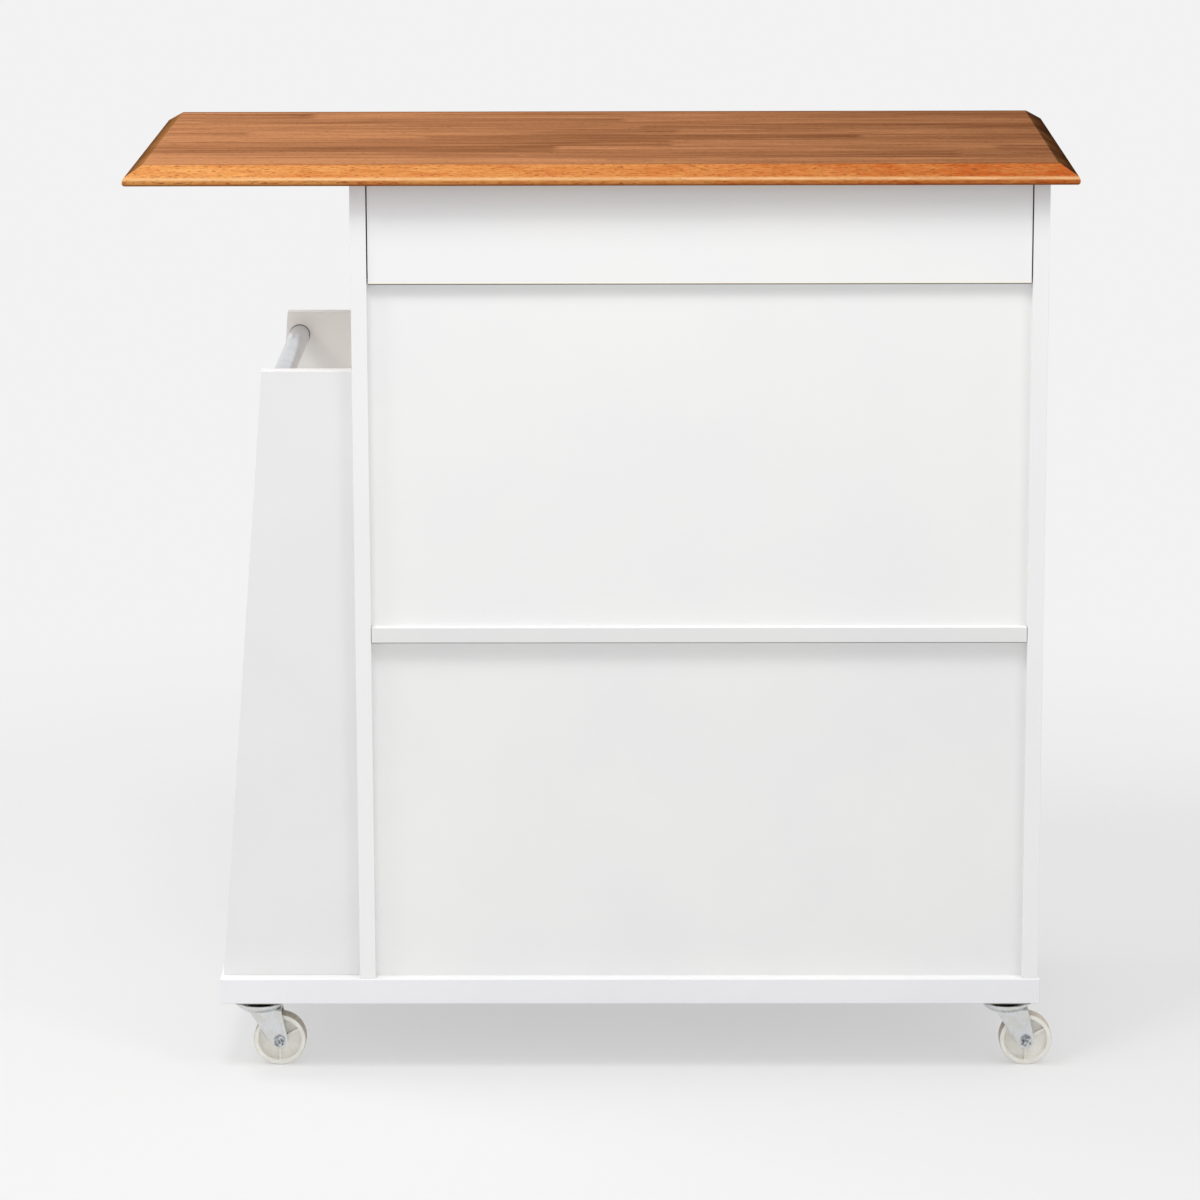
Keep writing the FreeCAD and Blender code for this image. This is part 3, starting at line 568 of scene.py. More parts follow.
def butcherBlock(edgeHeight, bevelRun, lowerRound, lipRound, upperRound):
    low, high = boxOf("butcher_block_top")
    size, zLip = high - low, low.z + edgeHeight
    top = addBlock(low, (high.x, high.y, zLip))
    pickFace(top, (0, 0, 1))
    bpy.ops.mesh.extrude_region_move(TRANSFORM_OT_translate={"value": (0, 0, (high.z - zLip) * mm)})
    bpy.ops.transform.resize(value=(1 - 2 * bevelRun / size.x, 1 - 2 * bevelRun / size.y, 1),
                             center_override=((low + high) / 2) * mm)
    bevelEdges(top, lambda a, b: max(a.z, b.z) < low.z + near, lowerRound, 5)
    bevelEdges(top, lambda a, b: max(abs(a.z - zLip), abs(b.z - zLip)) < near, lipRound, 6)
    # the upper arris and the mitres, without the short facets of the lip
    bevelEdges(top, lambda a, b: max(a.z, b.z) > high.z - near and (a - b).length > 15, upperRound, 3)

    def woodOf(normal, middle):
        frontArris = normal.y < 0 < normal.z < 0.999 and middle.z > high.z - 1
        # the ends, and the upper arris along the front, get the darkest wood
        return 2 if abs(normal.x) > 0.4 or frontArris else 0 if abs(normal.z) > 0.93 else 1

    paintFaces(top, [topFaceWood, edgeWood, endGrainAndShadeWood], woodOf)
    finish(top, "butcher_block_top", smooth=25)


butcherBlock(**topSizes)
print("butcher block made")

# White boards: laminate on the wide faces, a band on the thin edges, arrises just broken.
boardSizes = dict(arris=0.5, baseArris=1.2, panelArris=0.3)


def makeBoard(node, arris=boardSizes["arris"], band=edgeBand):
    low, high = boxOf(node)
    size = high - low
    thinAxis = min(range(3), key=lambda axis: size[axis])
    board = roundArrises(addBlock(low, high), arris)
    paintFaces(board, [laminate, band],
               lambda normal, middle: 0 if abs(normal[thinAxis]) > facing else 1)
    finish(board, node)


makeBoard("base_board", boardSizes["baseArris"], baseBand)
for node in ("left_side_panel", "right_side_panel", "drawer_deck", "drawer_divider",
             "front_stretcher", "rack_shelf_lower", "rack_shelf_upper"):
    makeBoard(node)


# The rail and the middle shelf are sawn off at their ends, a hair short of the sides, and their
# lower rear arris is painted grey as painted shade. The rail has a cream band along its bottom.
railSizes = dict(endGap=0.5, lowerRound=1.2, arris=0.3, band=1.4)
shelfSizes = dict(endGap=0.35, lowerRound=0.9, arris=0.4)


def sawnBoard(low, high, sizes, rounded):
    gap = Vector((sizes["endGap"], 0, 0))
    board = bevelEdges(addBlock(low + gap, high - gap), rounded, sizes["lowerRound"], 3)
    return roundArrises(board, sizes["arris"], 2, 60)


def makeRail(sizes):
    low, high = boxOf("back_rail")
    rail = sawnBoard(low, high, sizes,
                     lambda a, b: max(a.z, b.z) < low.z + near and abs(a.x - b.x) > 10)
    zBand = low.z + sizes["lowerRound"] + sizes["band"]
    editMesh(rail)
    bpy.ops.mesh.bisect(plane_co=(0, 0, zBand * mm), plane_no=(0, 0, 1))
    bpy.ops.object.mode_set(mode="OBJECT")
    paintFaces(rail, [laminate, edgeBand, creamBand, chipboard, paintedShadeLine],
               lambda normal, middle: 3 if abs(normal.x) > 0.9 else 4 if -0.99 < normal.z < -0.1
               else 1 if abs(normal.y) <= facing else 0 if middle.z > zBand else 2)
    finish(rail, "back_rail")


def makeShelf(sizes):
    low, high = boxOf("middle_shelf")
    shelf = sawnBoard(low, high, sizes, lambda a, b: max(a.z, b.z) < low.z + near
                      and min(a.y, b.y) > high.y - near)
    paintFaces(shelf, [laminate, shelfBand, chipboard, paintedShadeLine],
               lambda normal, middle: 2 if abs(normal.x) > 0.9 else 3 if middle.y > high.y - 1
               and -0.99 < normal.z < -0.1 else 0 if abs(normal.z) > facing else 1)
    finish(shelf, "middle_shelf")


makeRail(railSizes)
makeShelf(shelfSizes)
for node, paint in (("upper_back_panel", hardboard), ("lower_back_panel", shadedLowerHardboard)):
    panel = roundArrises(addBlock(*boxOf(node)), boardSizes["panelArris"], 2)
    finish(panel, node, paint)
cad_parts["carcass_dowels"].data.materials.clear()
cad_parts["carcass_dowels"].data.materials.append(clearPine)
print("carcass made")

# Side rack: leaning boards with blind sockets for the bars.
rackSizes = dict(topDepth=86.0, socketDepth=8.0, socketPlay=0.4, barWall=1.5, guardWall=3.0,
                 barEase=0.4, arris=0.5)


def rackBoard(node, inward, face, sizes):  # inward is +1 where the inside lies toward +Y
    low, high = boxOf(node)
    board = pushOutline([(low.x, low.y, low.z), (high.x, low.y, low.z),
                         (low.x + sizes["topDepth"], low.y, high.z), (low.x, low.y, high.z)],
                        (0, high.y - low.y, 0))
    roundArrises(board, sizes["arris"])
    inner = low.y if inward < 0 else high.y
    sockets = []
    for barLow, barHigh in [boxOf("towel_bar")] + solidBoxes("rack_guard_bars"):
        x, z = (barLow.x + barHigh.x) / 2, (barLow.z + barHigh.z) / 2
        sockets.append(addRod((x, inner + inward, z), (x, inner - inward * sizes["socketDepth"], z),
                              (barHigh.z - barLow.z) / 2 + sizes["socketPlay"], 48))
    combine(board, sockets)
    # the inside faces get the painted warm bounce light
    paintFaces(board, [face, edgeBand, bounceLitLaminate],
               lambda normal, middle: 1 if abs(normal.y) < facing else 2 if normal.y * inward > 0
               else 0)
    finish(board, node)


def rackBar(low, high, wall):
    radius = (high.z - low.z) / 2
    return barrel((low + high) / 2, high.y - low.y, radius, rackSizes["barEase"], "Y", 48,
                  radius - wall)


rackBoard("rack_rear_board", -1, shadedRackLaminate, rackSizes)
rackBoard("rack_front_board", 1, laminate, rackSizes)
finish(rackBar(*boxOf("towel_bar"), rackSizes["barWall"]), "towel_bar", satinBar)
guards = [rackBar(*box, rackSizes["guardWall"]) for box in solidBoxes("rack_guard_bars")]
finish(joinPieces(guards), "rack_guard_bars", satinBar)
print("side rack made")

# Small fasteners: a round or countersunk head with a cross recess, made once and copied.
screwSizes = dict(crossWidth=0.22, crossLength=0.62, crossDepth=0.55, countersunkRise=0.25)


def screwHead(radius, height, direction, domed=False, sizes=screwSizes):  # its seat at the origin
    rise = height if domed else height * sizes["countersunkRise"]
    head = spinProfile([(0, 0), (radius, 0), (radius, height - rise),
                        (radius * 0.93, height - rise * 0.55), (radius * 0.7, height - rise * 0.2),
                        (radius * 0.35, height), (0, height)], steps=20)
    long, wide = radius * sizes["crossLength"], radius * sizes["crossWidth"] / 2
    deep = height * (1 - sizes["crossDepth"])
    combine(head, [addBlock((-x, -y, deep), (x, y, height + 1))
                   for x, y in ((long, wide), (wide, long))])
    head.rotation_euler = Vector(direction).to_track_quat("Z", "Y").to_euler()
    return settle(head)


def copiesAt(piece, places):
    twins = [copyOf(piece, place) for place in places]
    bpy.data.objects.remove(piece)
    return twins


# Pulls: a bar with softly rounded ends on two collared posts.
pullSizes = dict(barRadius=5.0, postRadius=4.0, postPitch=96.0, endRound=1.6, collarRadius=5.0,
                 collarEdge=0.8, collarHeight=1.6)


def makePull(node, body, sizes=pullSizes):
    low, high = boxOf(node)
    size, middle = high - low, (low + high) / 2
    upright = size.z > size.x
    half, radius, ease = max(size.x, size.z) / 2, sizes["barRadius"], sizes["endRound"]
    bar = mirrored([(0, -half), (radius - ease, -half), (radius - ease * 0.3, ease * 0.3 - half),
                    (radius, ease - half)])
    pull = spinProfile(bar, (middle.x, low.y + radius, middle.z), "Z" if upright else "X", 40)
    collar, post, reach = sizes["collarRadius"], sizes["postRadius"], low.y + radius - high.y
    profile = [(0, 0), (collar, 0), (collar, -sizes["collarEdge"]),
               (post, -sizes["collarHeight"]), (post, reach), (0, reach)]
    run = Vector((0, 0, 1) if upright else (1, 0, 0)) * sizes["postPitch"] / 2
    for shift in (-run, run):
        centre = Vector((middle.x, high.y, middle.z)) + shift
        combine(pull, [spinProfile(profile, centre, "Y", 32)], "UNION")
    finish(pull, node, satinPull, body)


# Drawers: eased front, pine box with rounded rims, bottom board and runners.
drawerSizes = dict(frontChamfer=2.0, frontArris=0.4, wall=12.0, rimRound=2.0, bottomArris=0.3)
runnerSizes = dict(sheet=1.2, channelHeight=22.0, channelDepth=8.5, slot=9.0, play=0.4, gap=12.5,
                   channelArris=0.35, slideArris=0.3, screwInset=28, screwRadius=2.6,
                   screwHeight=0.7)


def makeDrawer(side, sizes):
    body = side + "_drawer"
    low, high = boxOf("drawer_front_" + side)
    front = bevelEdges(addBlock(low, high), lambda a, b: max(a.y, b.y) < low.y + near,
                       sizes["frontChamfer"], 4)
    roundArrises(front, sizes["frontArris"], 2, 60)
    paintFaces(front, [laminate, edgeBand], lambda normal, middle: 0 if abs(normal.y) > facing else 1)
    finish(front, "drawer_front_" + side, body=body)
    low, high = boxOf("drawer_box_" + side)
    wall = sizes["wall"]
    walls = [addBlock(low, (low.x + wall, high.y, high.z)),
             addBlock((high.x - wall, low.y, low.z), high),
             addBlock((low.x + wall, high.y - wall, low.z), (high.x - wall, high.y, high.z))]
    for board in walls:
        bevelEdges(board, lambda a, b: min(a.z, b.z) > high.z - near, sizes["rimRound"], 4)
    finish(joinPieces(walls), "drawer_box_" + side, clearPine, body)
    bottom = roundArrises(addBlock(*boxOf("drawer_bottom_" + side)), sizes["bottomArris"], 1)
    finish(bottom, "drawer_bottom_" + side, clearPine, body)
    makePull("drawer_pull_" + side, body)


def pushRunner(half, x0, turn, low, high, arris):
    zMiddle = (low.z + high.z) / 2
    piece = pushOutline([(x0 + turn * x, low.y, zMiddle + z) for x, z in mirrored(half)],
                        (0, high.y - low.y, 0))
    return bevelEdges(piece, lambda a, b: abs(a.y - b.y) > 10, arris, 2)


def channelPiece(low, high, turn, sizes=runnerSizes):  # turn is +1 where it opens toward +X
    sheet, tall = sizes["sheet"], sizes["channelHeight"] / 2
    deep, slot = sizes["channelDepth"], sizes["slot"] / 2
    x0 = low.x if turn > 0 else high.x
    piece = pushRunner([(0, -tall), (deep, -tall), (deep, -slot), (deep - sheet, -slot),
                        (deep - sheet, sheet - tall), (sheet, sheet - tall)],
                       x0, turn, low, high, sizes["channelArris"])
    inset, yMiddle, zMiddle = sizes["screwInset"], (low.y + high.y) / 2, (low.z + high.z) / 2
    head = screwHead(sizes["screwRadius"], sizes["screwHeight"], (turn, 0, 0))
    return joinPieces([piece] + copiesAt(head, [
        (x0 + turn * sheet, y, zMiddle) for y in (low.y + inset, yMiddle, high.y - inset)]))


def slidePiece(low, high, turn, sizes=runnerSizes):
    sheet, play, tall, gap = sizes["sheet"], sizes["play"], sizes["channelHeight"] / 2, sizes["gap"]
    head, stem = tall - sheet - play, sizes["slot"] / 2 - play
    head0, head1 = sheet + play, sizes["channelDepth"] - sheet - play
    x0 = low.x - head0 if turn > 0 else high.x + head0
    return pushRunner([(head0, -head), (head1, -head), (head1, -stem), (gap - sheet, -stem),
                       (gap - sheet, -tall), (gap, -tall)],
                      x0, turn, low, high, sizes["slideArris"])


for side in ("left", "right"):
    makeDrawer(side, drawerSizes)
    for node, makePiece, body in (("cabinet_runners_" + side, channelPiece, "cabinet"),
                                  ("drawer_runners_" + side, slidePiece, side + "_drawer")):
        pieces = [makePiece(*box, turn) for box, turn in zip(solidBoxes(node), (1, -1))]
        finish(joinPieces(pieces), node, runnerSteel, body)
print("drawers made")

# Doors: a flat board with a sunk field, butt hinges, a pull and a catch plate.
doorSizes = dict(frame=55.0, recess=4.0, slope=4.0, arris=1.0, fieldRound=0.6, strikeCorner=2.0,
                 strikeArris=0.25)
hingeSizes = dict(leaf=1.1, gap=2.4, leafDepth=12.0, knuckleRadius=3.0, knuckleEase=0.25,
                  pinRadius=1.5, pinEase=0.4, standOff=0.3, play=0.3, count=3, screwRadius=2.0,
                  screwHeight=0.16, screwInset=8)


def makeDoor(side, sizes):
    body = side + "_door"
    low, high = boxOf("door_" + side)
    door = addBlock(low, high)
    pickFace(door, (0, -1, 0))
    bpy.ops.mesh.inset(thickness=sizes["frame"] * mm)
    bpy.ops.mesh.inset(thickness=sizes["slope"] * mm, depth=-sizes["recess"] * mm)
    bpy.ops.object.mode_set(mode="OBJECT")

    def fromSide(corner):
        return min(abs(corner.x - low.x), abs(corner.x - high.x))

    bevelEdges(door, lambda a, b: max(a.y, b.y) < low.y + 5 and (a - b).length > 60
               and fromSide(a) > 20, sizes["fieldRound"], 3)
    bevelEdges(door, lambda a, b: max(a.y, b.y) < low.y + near and (a - b).length > 200
               and fromSide(a) + fromSide(b) < 2 * near, sizes["arris"], 3)
    paintFaces(door, [laminate, edgeBand],
               lambda normal, middle: 1 if max(abs(normal.x), abs(normal.z)) > facing else 0)
    finish(door, "door_" + side, body=body)
    strike = bevelEdges(addBlock(*boxOf("door_strike_" + side)),
                        lambda a, b: abs(a.y - b.y) > 1, sizes["strikeCorner"], 4)
    roundArrises(strike, sizes["strikeArris"], 2, 60)
    finish(strike, "door_strike_" + side, zincPlate, body)
    makePull("door_pull_" + side, body)


def hingeHalf(pin, turn, outward, sizes):
    # turn is +1 where the door side lies toward +X, outward -1 for the frame's own leaf
    x, y = (pin[0].x + pin[1].x) / 2, (pin[0].y + pin[1].y) / 2
    z0, z1 = pin[0].z, pin[1].z
    pitch, side = (z1 - z0) / sizes["count"], turn * outward
    yFace = y + sizes["knuckleRadius"] + sizes["standOff"]
    xOuter = x + side * sizes["gap"] / 2
    xInner = xOuter - side * sizes["leaf"]
    xLow, xHigh = sorted((xOuter, xInner))
    parts = [addBlock((xLow, yFace, z0), (xHigh, yFace + sizes["leafDepth"], z1))]
    bore = sizes["pinRadius"] + (0.02 if outward < 0 else 0.1)
    for count in range(0 if outward < 0 else 1, sizes["count"], 2):
        za = z0 + count * pitch + sizes["play"] / 2
        zb = za + pitch - sizes["play"]
        parts.append(barrel((x, y, (za + zb) / 2), zb - za, sizes["knuckleRadius"],
                            sizes["knuckleEase"], bore=bore))
        parts.append(addBlock((xLow, y + 1.9, za), (xHigh, yFace + 0.5, zb)))
    inset = sizes["screwInset"]
    head = screwHead(sizes["screwRadius"], sizes["screwHeight"], (-side, 0, 0))
    return joinPieces(parts + copiesAt(head, [
        (xInner, yFace + sizes["leafDepth"] * 0.6, z) for z in (z0 + inset, (z0 + z1) / 2, z1 - inset)]))


pins = solidBoxes("hinge_pins")
frameLeaves = []
for side, turn in (("left", 1), ("right", -1)):
    makeDoor(side, doorSizes)
    ownPins = pins[:len(pins) // 2] if side == "left" else pins[len(pins) // 2:]
    frameLeaves += [hingeHalf(pin, turn, -1, hingeSizes) for pin in ownPins]
    finish(joinPieces([hingeHalf(pin, turn, 1, hingeSizes) for pin in ownPins]),
           "door_hinge_leaves_" + side, zincPlate, side + "_door")
finish(joinPieces(frameLeaves), "hinge_frame_leaves", zincPlate)
finish(joinPieces([barrel((low + high) / 2, high.z - low.z, hingeSizes["pinRadius"] - 0.01,
                          hingeSizes["pinEase"], steps=28) for low, high in pins]),
       "hinge_pins", zincBolt)

# Magnetic catches: a rounded plastic case with two steel poles at its mouth.
catchSizes = dict(caseSetback=1.0, caseRound=1.2, poleShares=(0.25, 0.65), pole=1.5,
                  poleLength=30.0, poleDepth=6, poleArris=0.2)


def makeCatches(sizes):
    cases, poles = [], []
    for low, high in solidBoxes("door_catches"):
        case = addBlock((low.x, low.y + sizes["caseSetback"], low.z), high)
        cases.append(roundArrises(case, sizes["caseRound"], 3))
        middle, half = (low.x + high.x) / 2, sizes["poleLength"] / 2
        for share in sizes["poleShares"]:
            z = low.z + share * (high.z - low.z)
            pole = addBlock((middle - half, low.y, z),
                            (middle + half, low.y + sizes["poleDepth"], z + sizes["pole"]))
            poles.append(roundArrises(pole, sizes["poleArris"], 1))
    for name, pieces, material in (("catchCases", cases, absPlastic), ("catchPoles", poles, zincPlate)):
        finish(joinPieces(pieces), "door_catches", material, name=name)


makeCatches(catchSizes)
print("doors made")

# Swivel casters, drawn with the swivel axis on Z, heights from the floor, wheel toward -X.
casterSizes = dict(
    top=70.0, plateThickness=2.5, plateX=47.0, plateY=60.0, plateCorner=5.0, race=61.5,
    raceRadius=18.0, ballRadius=2.1, ballCircle=14.0, balls=18, crownTop=62.7, crownFloor=57.0,
    sheet=2.0, crownRadius=23.0, floorRadius=17.0, trail=19.0, axleHeight=25.4, legInner=10.3,
    legEnd=8.0, legLead=10.5, legTrail=21.0, foldRound=2.6, pinRadius=4.0, axleRadius=3.0,
    hexAcross=10.0, hexHeight=4.0, screwInset=7.5, screwRadius=3.6, screwHeight=2.2,
    screwLength=15.0, creaseX=-8.0, creaseSlope=0.06)
caster = SimpleNamespace(**casterSizes)
xAxle, zAxle = -caster.trail, caster.axleHeight
legOuter, crownUnder = caster.legInner + caster.sheet, caster.crownFloor - caster.sheet
plateUnder = caster.top - caster.plateThickness


def tangentAngle(x, z, turn):  # where a line from (x, z) meets the leg's round end
    dx, dz = x - xAxle, z - zAxle
    return math.atan2(dz, dx) - turn * math.acos(caster.legEnd / math.hypot(dx, dz))


def crossRod(x, z, radius, reach=20, corners=32):
    return addRod((x, -reach, z), (x, reach, z), radius, corners)


def casterPlate():
    x, y = caster.plateX / 2, caster.plateY / 2
    plate = addBlock((-x, -y, plateUnder), (x, y, caster.top))
    bevelEdges(plate, lambda a, b: abs(a.z - b.z) > 1, caster.plateCorner, 6)
    roundArrises(plate, 0.5, 3, 60)
    radius, race = caster.raceRadius, caster.race
    pressed = spinProfile([
        (0, plateUnder + 0.5), (radius + 0.6, plateUnder + 0.5), (radius + 0.3, plateUnder - 0.2),
        (radius - 0.2, plateUnder - 1.6), (radius - 1.2, race + 1.8), (radius - 2.0, race + 0.7),
        (radius - 3.2, race), (0, race)])
    plate = joinPieces([plate, pressed])
    # painted shade on the plate's edges and its pressed race
    paintFaces(plate, [zincPlate, shadedPlateSteel],
               lambda normal, middle: 0 if abs(normal.z) > facing else 1)
    return plate


def crownProfile():
    floor, rim, sheet, under = caster.crownFloor, caster.crownTop, caster.sheet, crownUnder
    wide, narrow, bore = caster.crownRadius, caster.floorRadius, caster.pinRadius + 0.1
    return [(bore, under), (narrow - 0.6, under), (narrow + 0.8, under + 0.4),
            (wide - 1.6, under + 3.2), (wide - 0.4, under + 4.6), (wide, under + 5.8),
            (wide, rim - 0.4), (wide - 0.4, rim), (wide - sheet + 0.3, rim),
            (wide - sheet, rim - 0.4), (wide - sheet, floor + 3.6),
            (wide - sheet - 0.6, floor + 2.6), (narrow, floor + 0.3), (narrow - 1.0, floor),
            (bore, floor)]


def forkLegs(braked, steps=22):
    floor, lead, trail = caster.crownFloor, caster.legLead, -caster.legTrail
    first, last = tangentAngle(lead, crownUnder, 1), tangentAngle(trail, crownUnder, -1)
    if last > first:
        last -= 2 * math.pi
    arc = [first + (last - first) * count / steps for count in range(steps + 1)]
    outline = [(lead, floor), (lead, crownUnder)]
    outline += [(xAxle + caster.legEnd * math.cos(turn), zAxle + caster.legEnd * math.sin(turn))
                for turn in arc]
    outline += [(trail, crownUnder), (trail, floor)]
    legs = pushOutline([(x, -legOuter, z) for x, z in outline], (0, 2 * legOuter, 0))
    bevelEdges(legs, lambda a, b: min(a.z, b.z) > floor - near and abs(a.y - b.y) < near
               and abs(abs(a.y) - legOuter) < near, caster.foldRound, 5)
    if braked:
        combine(legs, [brakeEar()], "UNION")
    room = addBlock((-60, -caster.legInner, 0), (30, caster.legInner, crownUnder))
    bevelEdges(room, lambda a, b: min(a.z, b.z) > crownUnder - near and abs(a.x - b.x) > 50, 0.8, 3)
    return combine(legs, [room])


brakeSizes = dict(
    pivotAngle=24.8, bossRadius=4.0, bossAir=1.5, pinRadius=2.0, shoeLift=3.7, shoe=2.5,
    shoeAngle=53.5, footReach=18.0, foot=2.2, footCorner=4.0, earMargin=1.6, wheelRadius=25.4,
    halfWidth=9.7, shoeHalf=9.0, grooves=4, groovePitch=3, grooveStart=6, grooveInset=2.5)
brake = SimpleNamespace(**brakeSizes)


def aboutAxle(radius, degrees):
    turn = math.radians(degrees)
    return xAxle - radius * math.sin(turn), zAxle + radius * math.cos(turn)


xPivot, zPivot = aboutAxle(brake.wheelRadius + brake.bossRadius + brake.bossAir, brake.pivotAngle)


def brakeEar():  # a web and an eye on each leg carry the pedal's pin
    radius = brake.bossRadius + brake.earMargin
    corners = ((-caster.legTrail / 2, caster.crownFloor - 0.2), (xPivot, zPivot + radius - 0.1),
               (xPivot, zPivot - radius + 0.1), (-caster.legTrail, zAxle + caster.legEnd))
    web = pushOutline([(x, -legOuter, z) for x, z in corners], (0, 2 * legOuter, 0))
    return combine(web, [crossRod(xPivot, zPivot, radius, legOuter, 40)], "UNION")


def pressLeadingEdge(fork):  # each leg is pressed thinner ahead of a crease
    editMesh(fork)
    bpy.ops.mesh.bisect(plane_co=(caster.creaseX * mm, 0, 0), plane_no=(1, 0, 0))
    bpy.ops.object.mode_set(mode="OBJECT")
    for vertex in fork.data.vertices:
        x, y, z = vertex.co / mm
        if x > caster.creaseX and abs(y) > legOuter - near / 2 and z < caster.crownFloor:
            y -= math.copysign((x - caster.creaseX) * caster.creaseSlope, y)
            vertex.co.y = y * mm


def makeFork(braked):
    fork = forkLegs(braked)
    floor = caster.crownFloor + 0.01
    bowl = spinProfile([(0, floor), (caster.floorRadius - 0.5, floor),
                        (caster.crownRadius - caster.sheet, caster.crownTop),
                        (0, caster.crownTop + 5)])
    combine(fork, [bowl, addRod((0, 0, 50), (0, 0, 60), caster.pinRadius + 0.1),
                   crossRod(xAxle, zAxle, caster.axleRadius + 0.05)])
    if braked:
        combine(fork, [crossRod(xPivot, zPivot, brake.pinRadius + 0.1, corners=28)])
    pressLeadingEdge(fork)
    roundArrises(fork, 0.3, 2, 50)
    return joinPieces([fork, spinProfile(crownProfile())])


def makeAxle():
    tall, radius = caster.hexHeight, caster.axleRadius
    low, washer, head = -legOuter - tall - 1.0, legOuter + 0.02, legOuter + tall
    profiles = (
        ([(0, low), (radius - 0.6, low), (radius, low + 0.6), (radius, legOuter), (0, legOuter)], 32),
        ([(0, washer), (5.0, washer), (5.0, washer + 0.48), (4.7, washer + 0.68),
          (0, washer + 0.68)], 40),
        ([(0, head - 0.6), (3.9, head - 0.6), (3.2, head - 0.15), (0, head)], 32))
    parts = [spinProfile(profile, (xAxle, 0, zAxle), "Y", steps) for profile, steps in profiles]
    for y0, y1 in ((legOuter + 0.6, head - 0.3), (-legOuter - tall, -legOuter)):
        piece = addRod((xAxle, y0, zAxle), (xAxle, y1, zAxle), caster.hexAcross / math.sqrt(3), 6)
        parts.append(roundArrises(piece, 0.5, 3, 50))
    return joinPieces(parts)


wheelSizes = dict(radius=25.4, half=9.0, hubHalf=10.0, hubRadius=7.5, bore=3.15, web=3.0, rim=4.2,
                  draft=1.0, ribs=3, rib=1.8, ribSink=1.2, ribArris=0.45, tread=0.7)


def makeWheel(sizes):
    radius, half, hub = sizes["radius"], sizes["half"], sizes["hubRadius"]
    web, inner, hubHalf = sizes["web"], radius - sizes["rim"], sizes["hubHalf"]
    floor = inner - sizes["draft"]
    side = [(sizes["bore"], -hubHalf), (hub - 0.6, -hubHalf), (hub, 0.6 - hubHalf),
            (hub, -web - 0.8), (hub + 0.8, -web), (floor - 0.8, -web), (floor, -web - 0.8),
            (inner - 0.3, -half + 0.3), (inner + 0.1, -half), (radius - 1.3, -half),
            (radius - 0.5, 0.35 - half), (radius - 0.1, 1.0 - half), (radius, 1.8 - half)]
    parts = [spinProfile(mirrored(side), (0, 0, 0), "Y", 72)]
    y, z = half - sizes["ribSink"], sizes["rib"] / 2
    for count in range(sizes["ribs"]):
        rib = addBlock((hub - 0.8, -y, -z), (inner + 0.4, y, z))
        roundArrises(rib, sizes["ribArris"], 2)
        rib.rotation_euler = (0, math.radians(90 + 360 / sizes["ribs"] * count), 0)
        parts.append(settle(rib))
    wheel = joinPieces(parts)
    paintFaces(wheel, [nylon, dirtAndShadeTreadNylon],
               lambda normal, middle: int(math.hypot(middle.x, middle.z) > radius - sizes["tread"]))
    wheel.location = Vector((xAxle, 0, zAxle)) * mm
    return settle(wheel)


def makePedal(steps=14):
    half, z1 = brake.halfWidth, zPivot + brake.bossRadius
    boss = barrel((xPivot, 0, zPivot), 2 * half, brake.bossRadius, 0.5, "Y", 36)
    pin = barrel((xPivot, 0, zPivot), 2 * legOuter, brake.pinRadius, 0.4, "Y", 28)
    foot = addBlock((xPivot - brake.footReach, -half, z1 - brake.foot), (xPivot, half, z1))
    bevelEdges(foot, lambda a, b: abs(a.z - b.z) > 1 and a.x < xPivot - 5, brake.footCorner, 5)
    roundArrises(foot, 0.5, 2, 60)
    y = half - brake.grooveInset
    for count in range(brake.grooves):
        x = xPivot - brake.grooveStart - brake.groovePitch * count
        combine(foot, [addBlock((x - 0.5, -y, z1 - 0.5), (x + 0.5, y, z1 + 1))])
    inner = brake.wheelRadius + brake.shoeLift
    angles = [brake.pivotAngle + (brake.shoeAngle - brake.pivotAngle) * step / steps
              for step in range(steps + 1)]
    curve = [aboutAxle(inner, angle) for angle in angles]
    curve += [aboutAxle(inner + brake.shoe, angle) for angle in reversed(angles)]
    shoe = pushOutline([(x, -brake.shoeHalf, z) for x, z in curve], (0, 2 * brake.shoeHalf, 0))
    roundArrises(shoe, 0.35, 2, 50)
    return joinPieces([boss, pin, foot, shoe])


def ballRing():
    makeActive(None)
    bpy.ops.mesh.primitive_uv_sphere_add(segments=12, ring_count=8, radius=caster.ballRadius * mm)
    turns = [2 * math.pi * count / caster.balls for count in range(caster.balls)]
    return joinPieces(copiesAt(settle(bpy.context.object), [
        (caster.ballCircle * math.cos(turn), caster.ballCircle * math.sin(turn),
         (caster.race + caster.crownFloor) / 2) for turn in turns]))


def makeKingpin():
    radius = caster.pinRadius
    return spinProfile([
        (0, caster.top), (radius, caster.top), (radius, crownUnder - 0.3), (7.0, crownUnder - 0.3),
        (7.0, crownUnder - 1.0), (6.0, crownUnder - 1.9), (4.2, crownUnder - 2.25),
        (0, crownUnder - 2.3)], steps=36)


def plateScrews():
    head = screwHead(caster.screwRadius, caster.screwHeight, (0, 0, -1), True)
    screw = joinPieces([head, addRod((0, 0, 0), (0, 0, caster.screwLength), 2.0, 16)])
    x, y = caster.plateX / 2 - caster.screwInset, caster.plateY / 2 - caster.screwInset
    return joinPieces(copiesAt(screw, [
        (dx, dy, plateUnder) for dx, dy in ((x, y), (-x, y), (-x, -y), (x, -y))]))


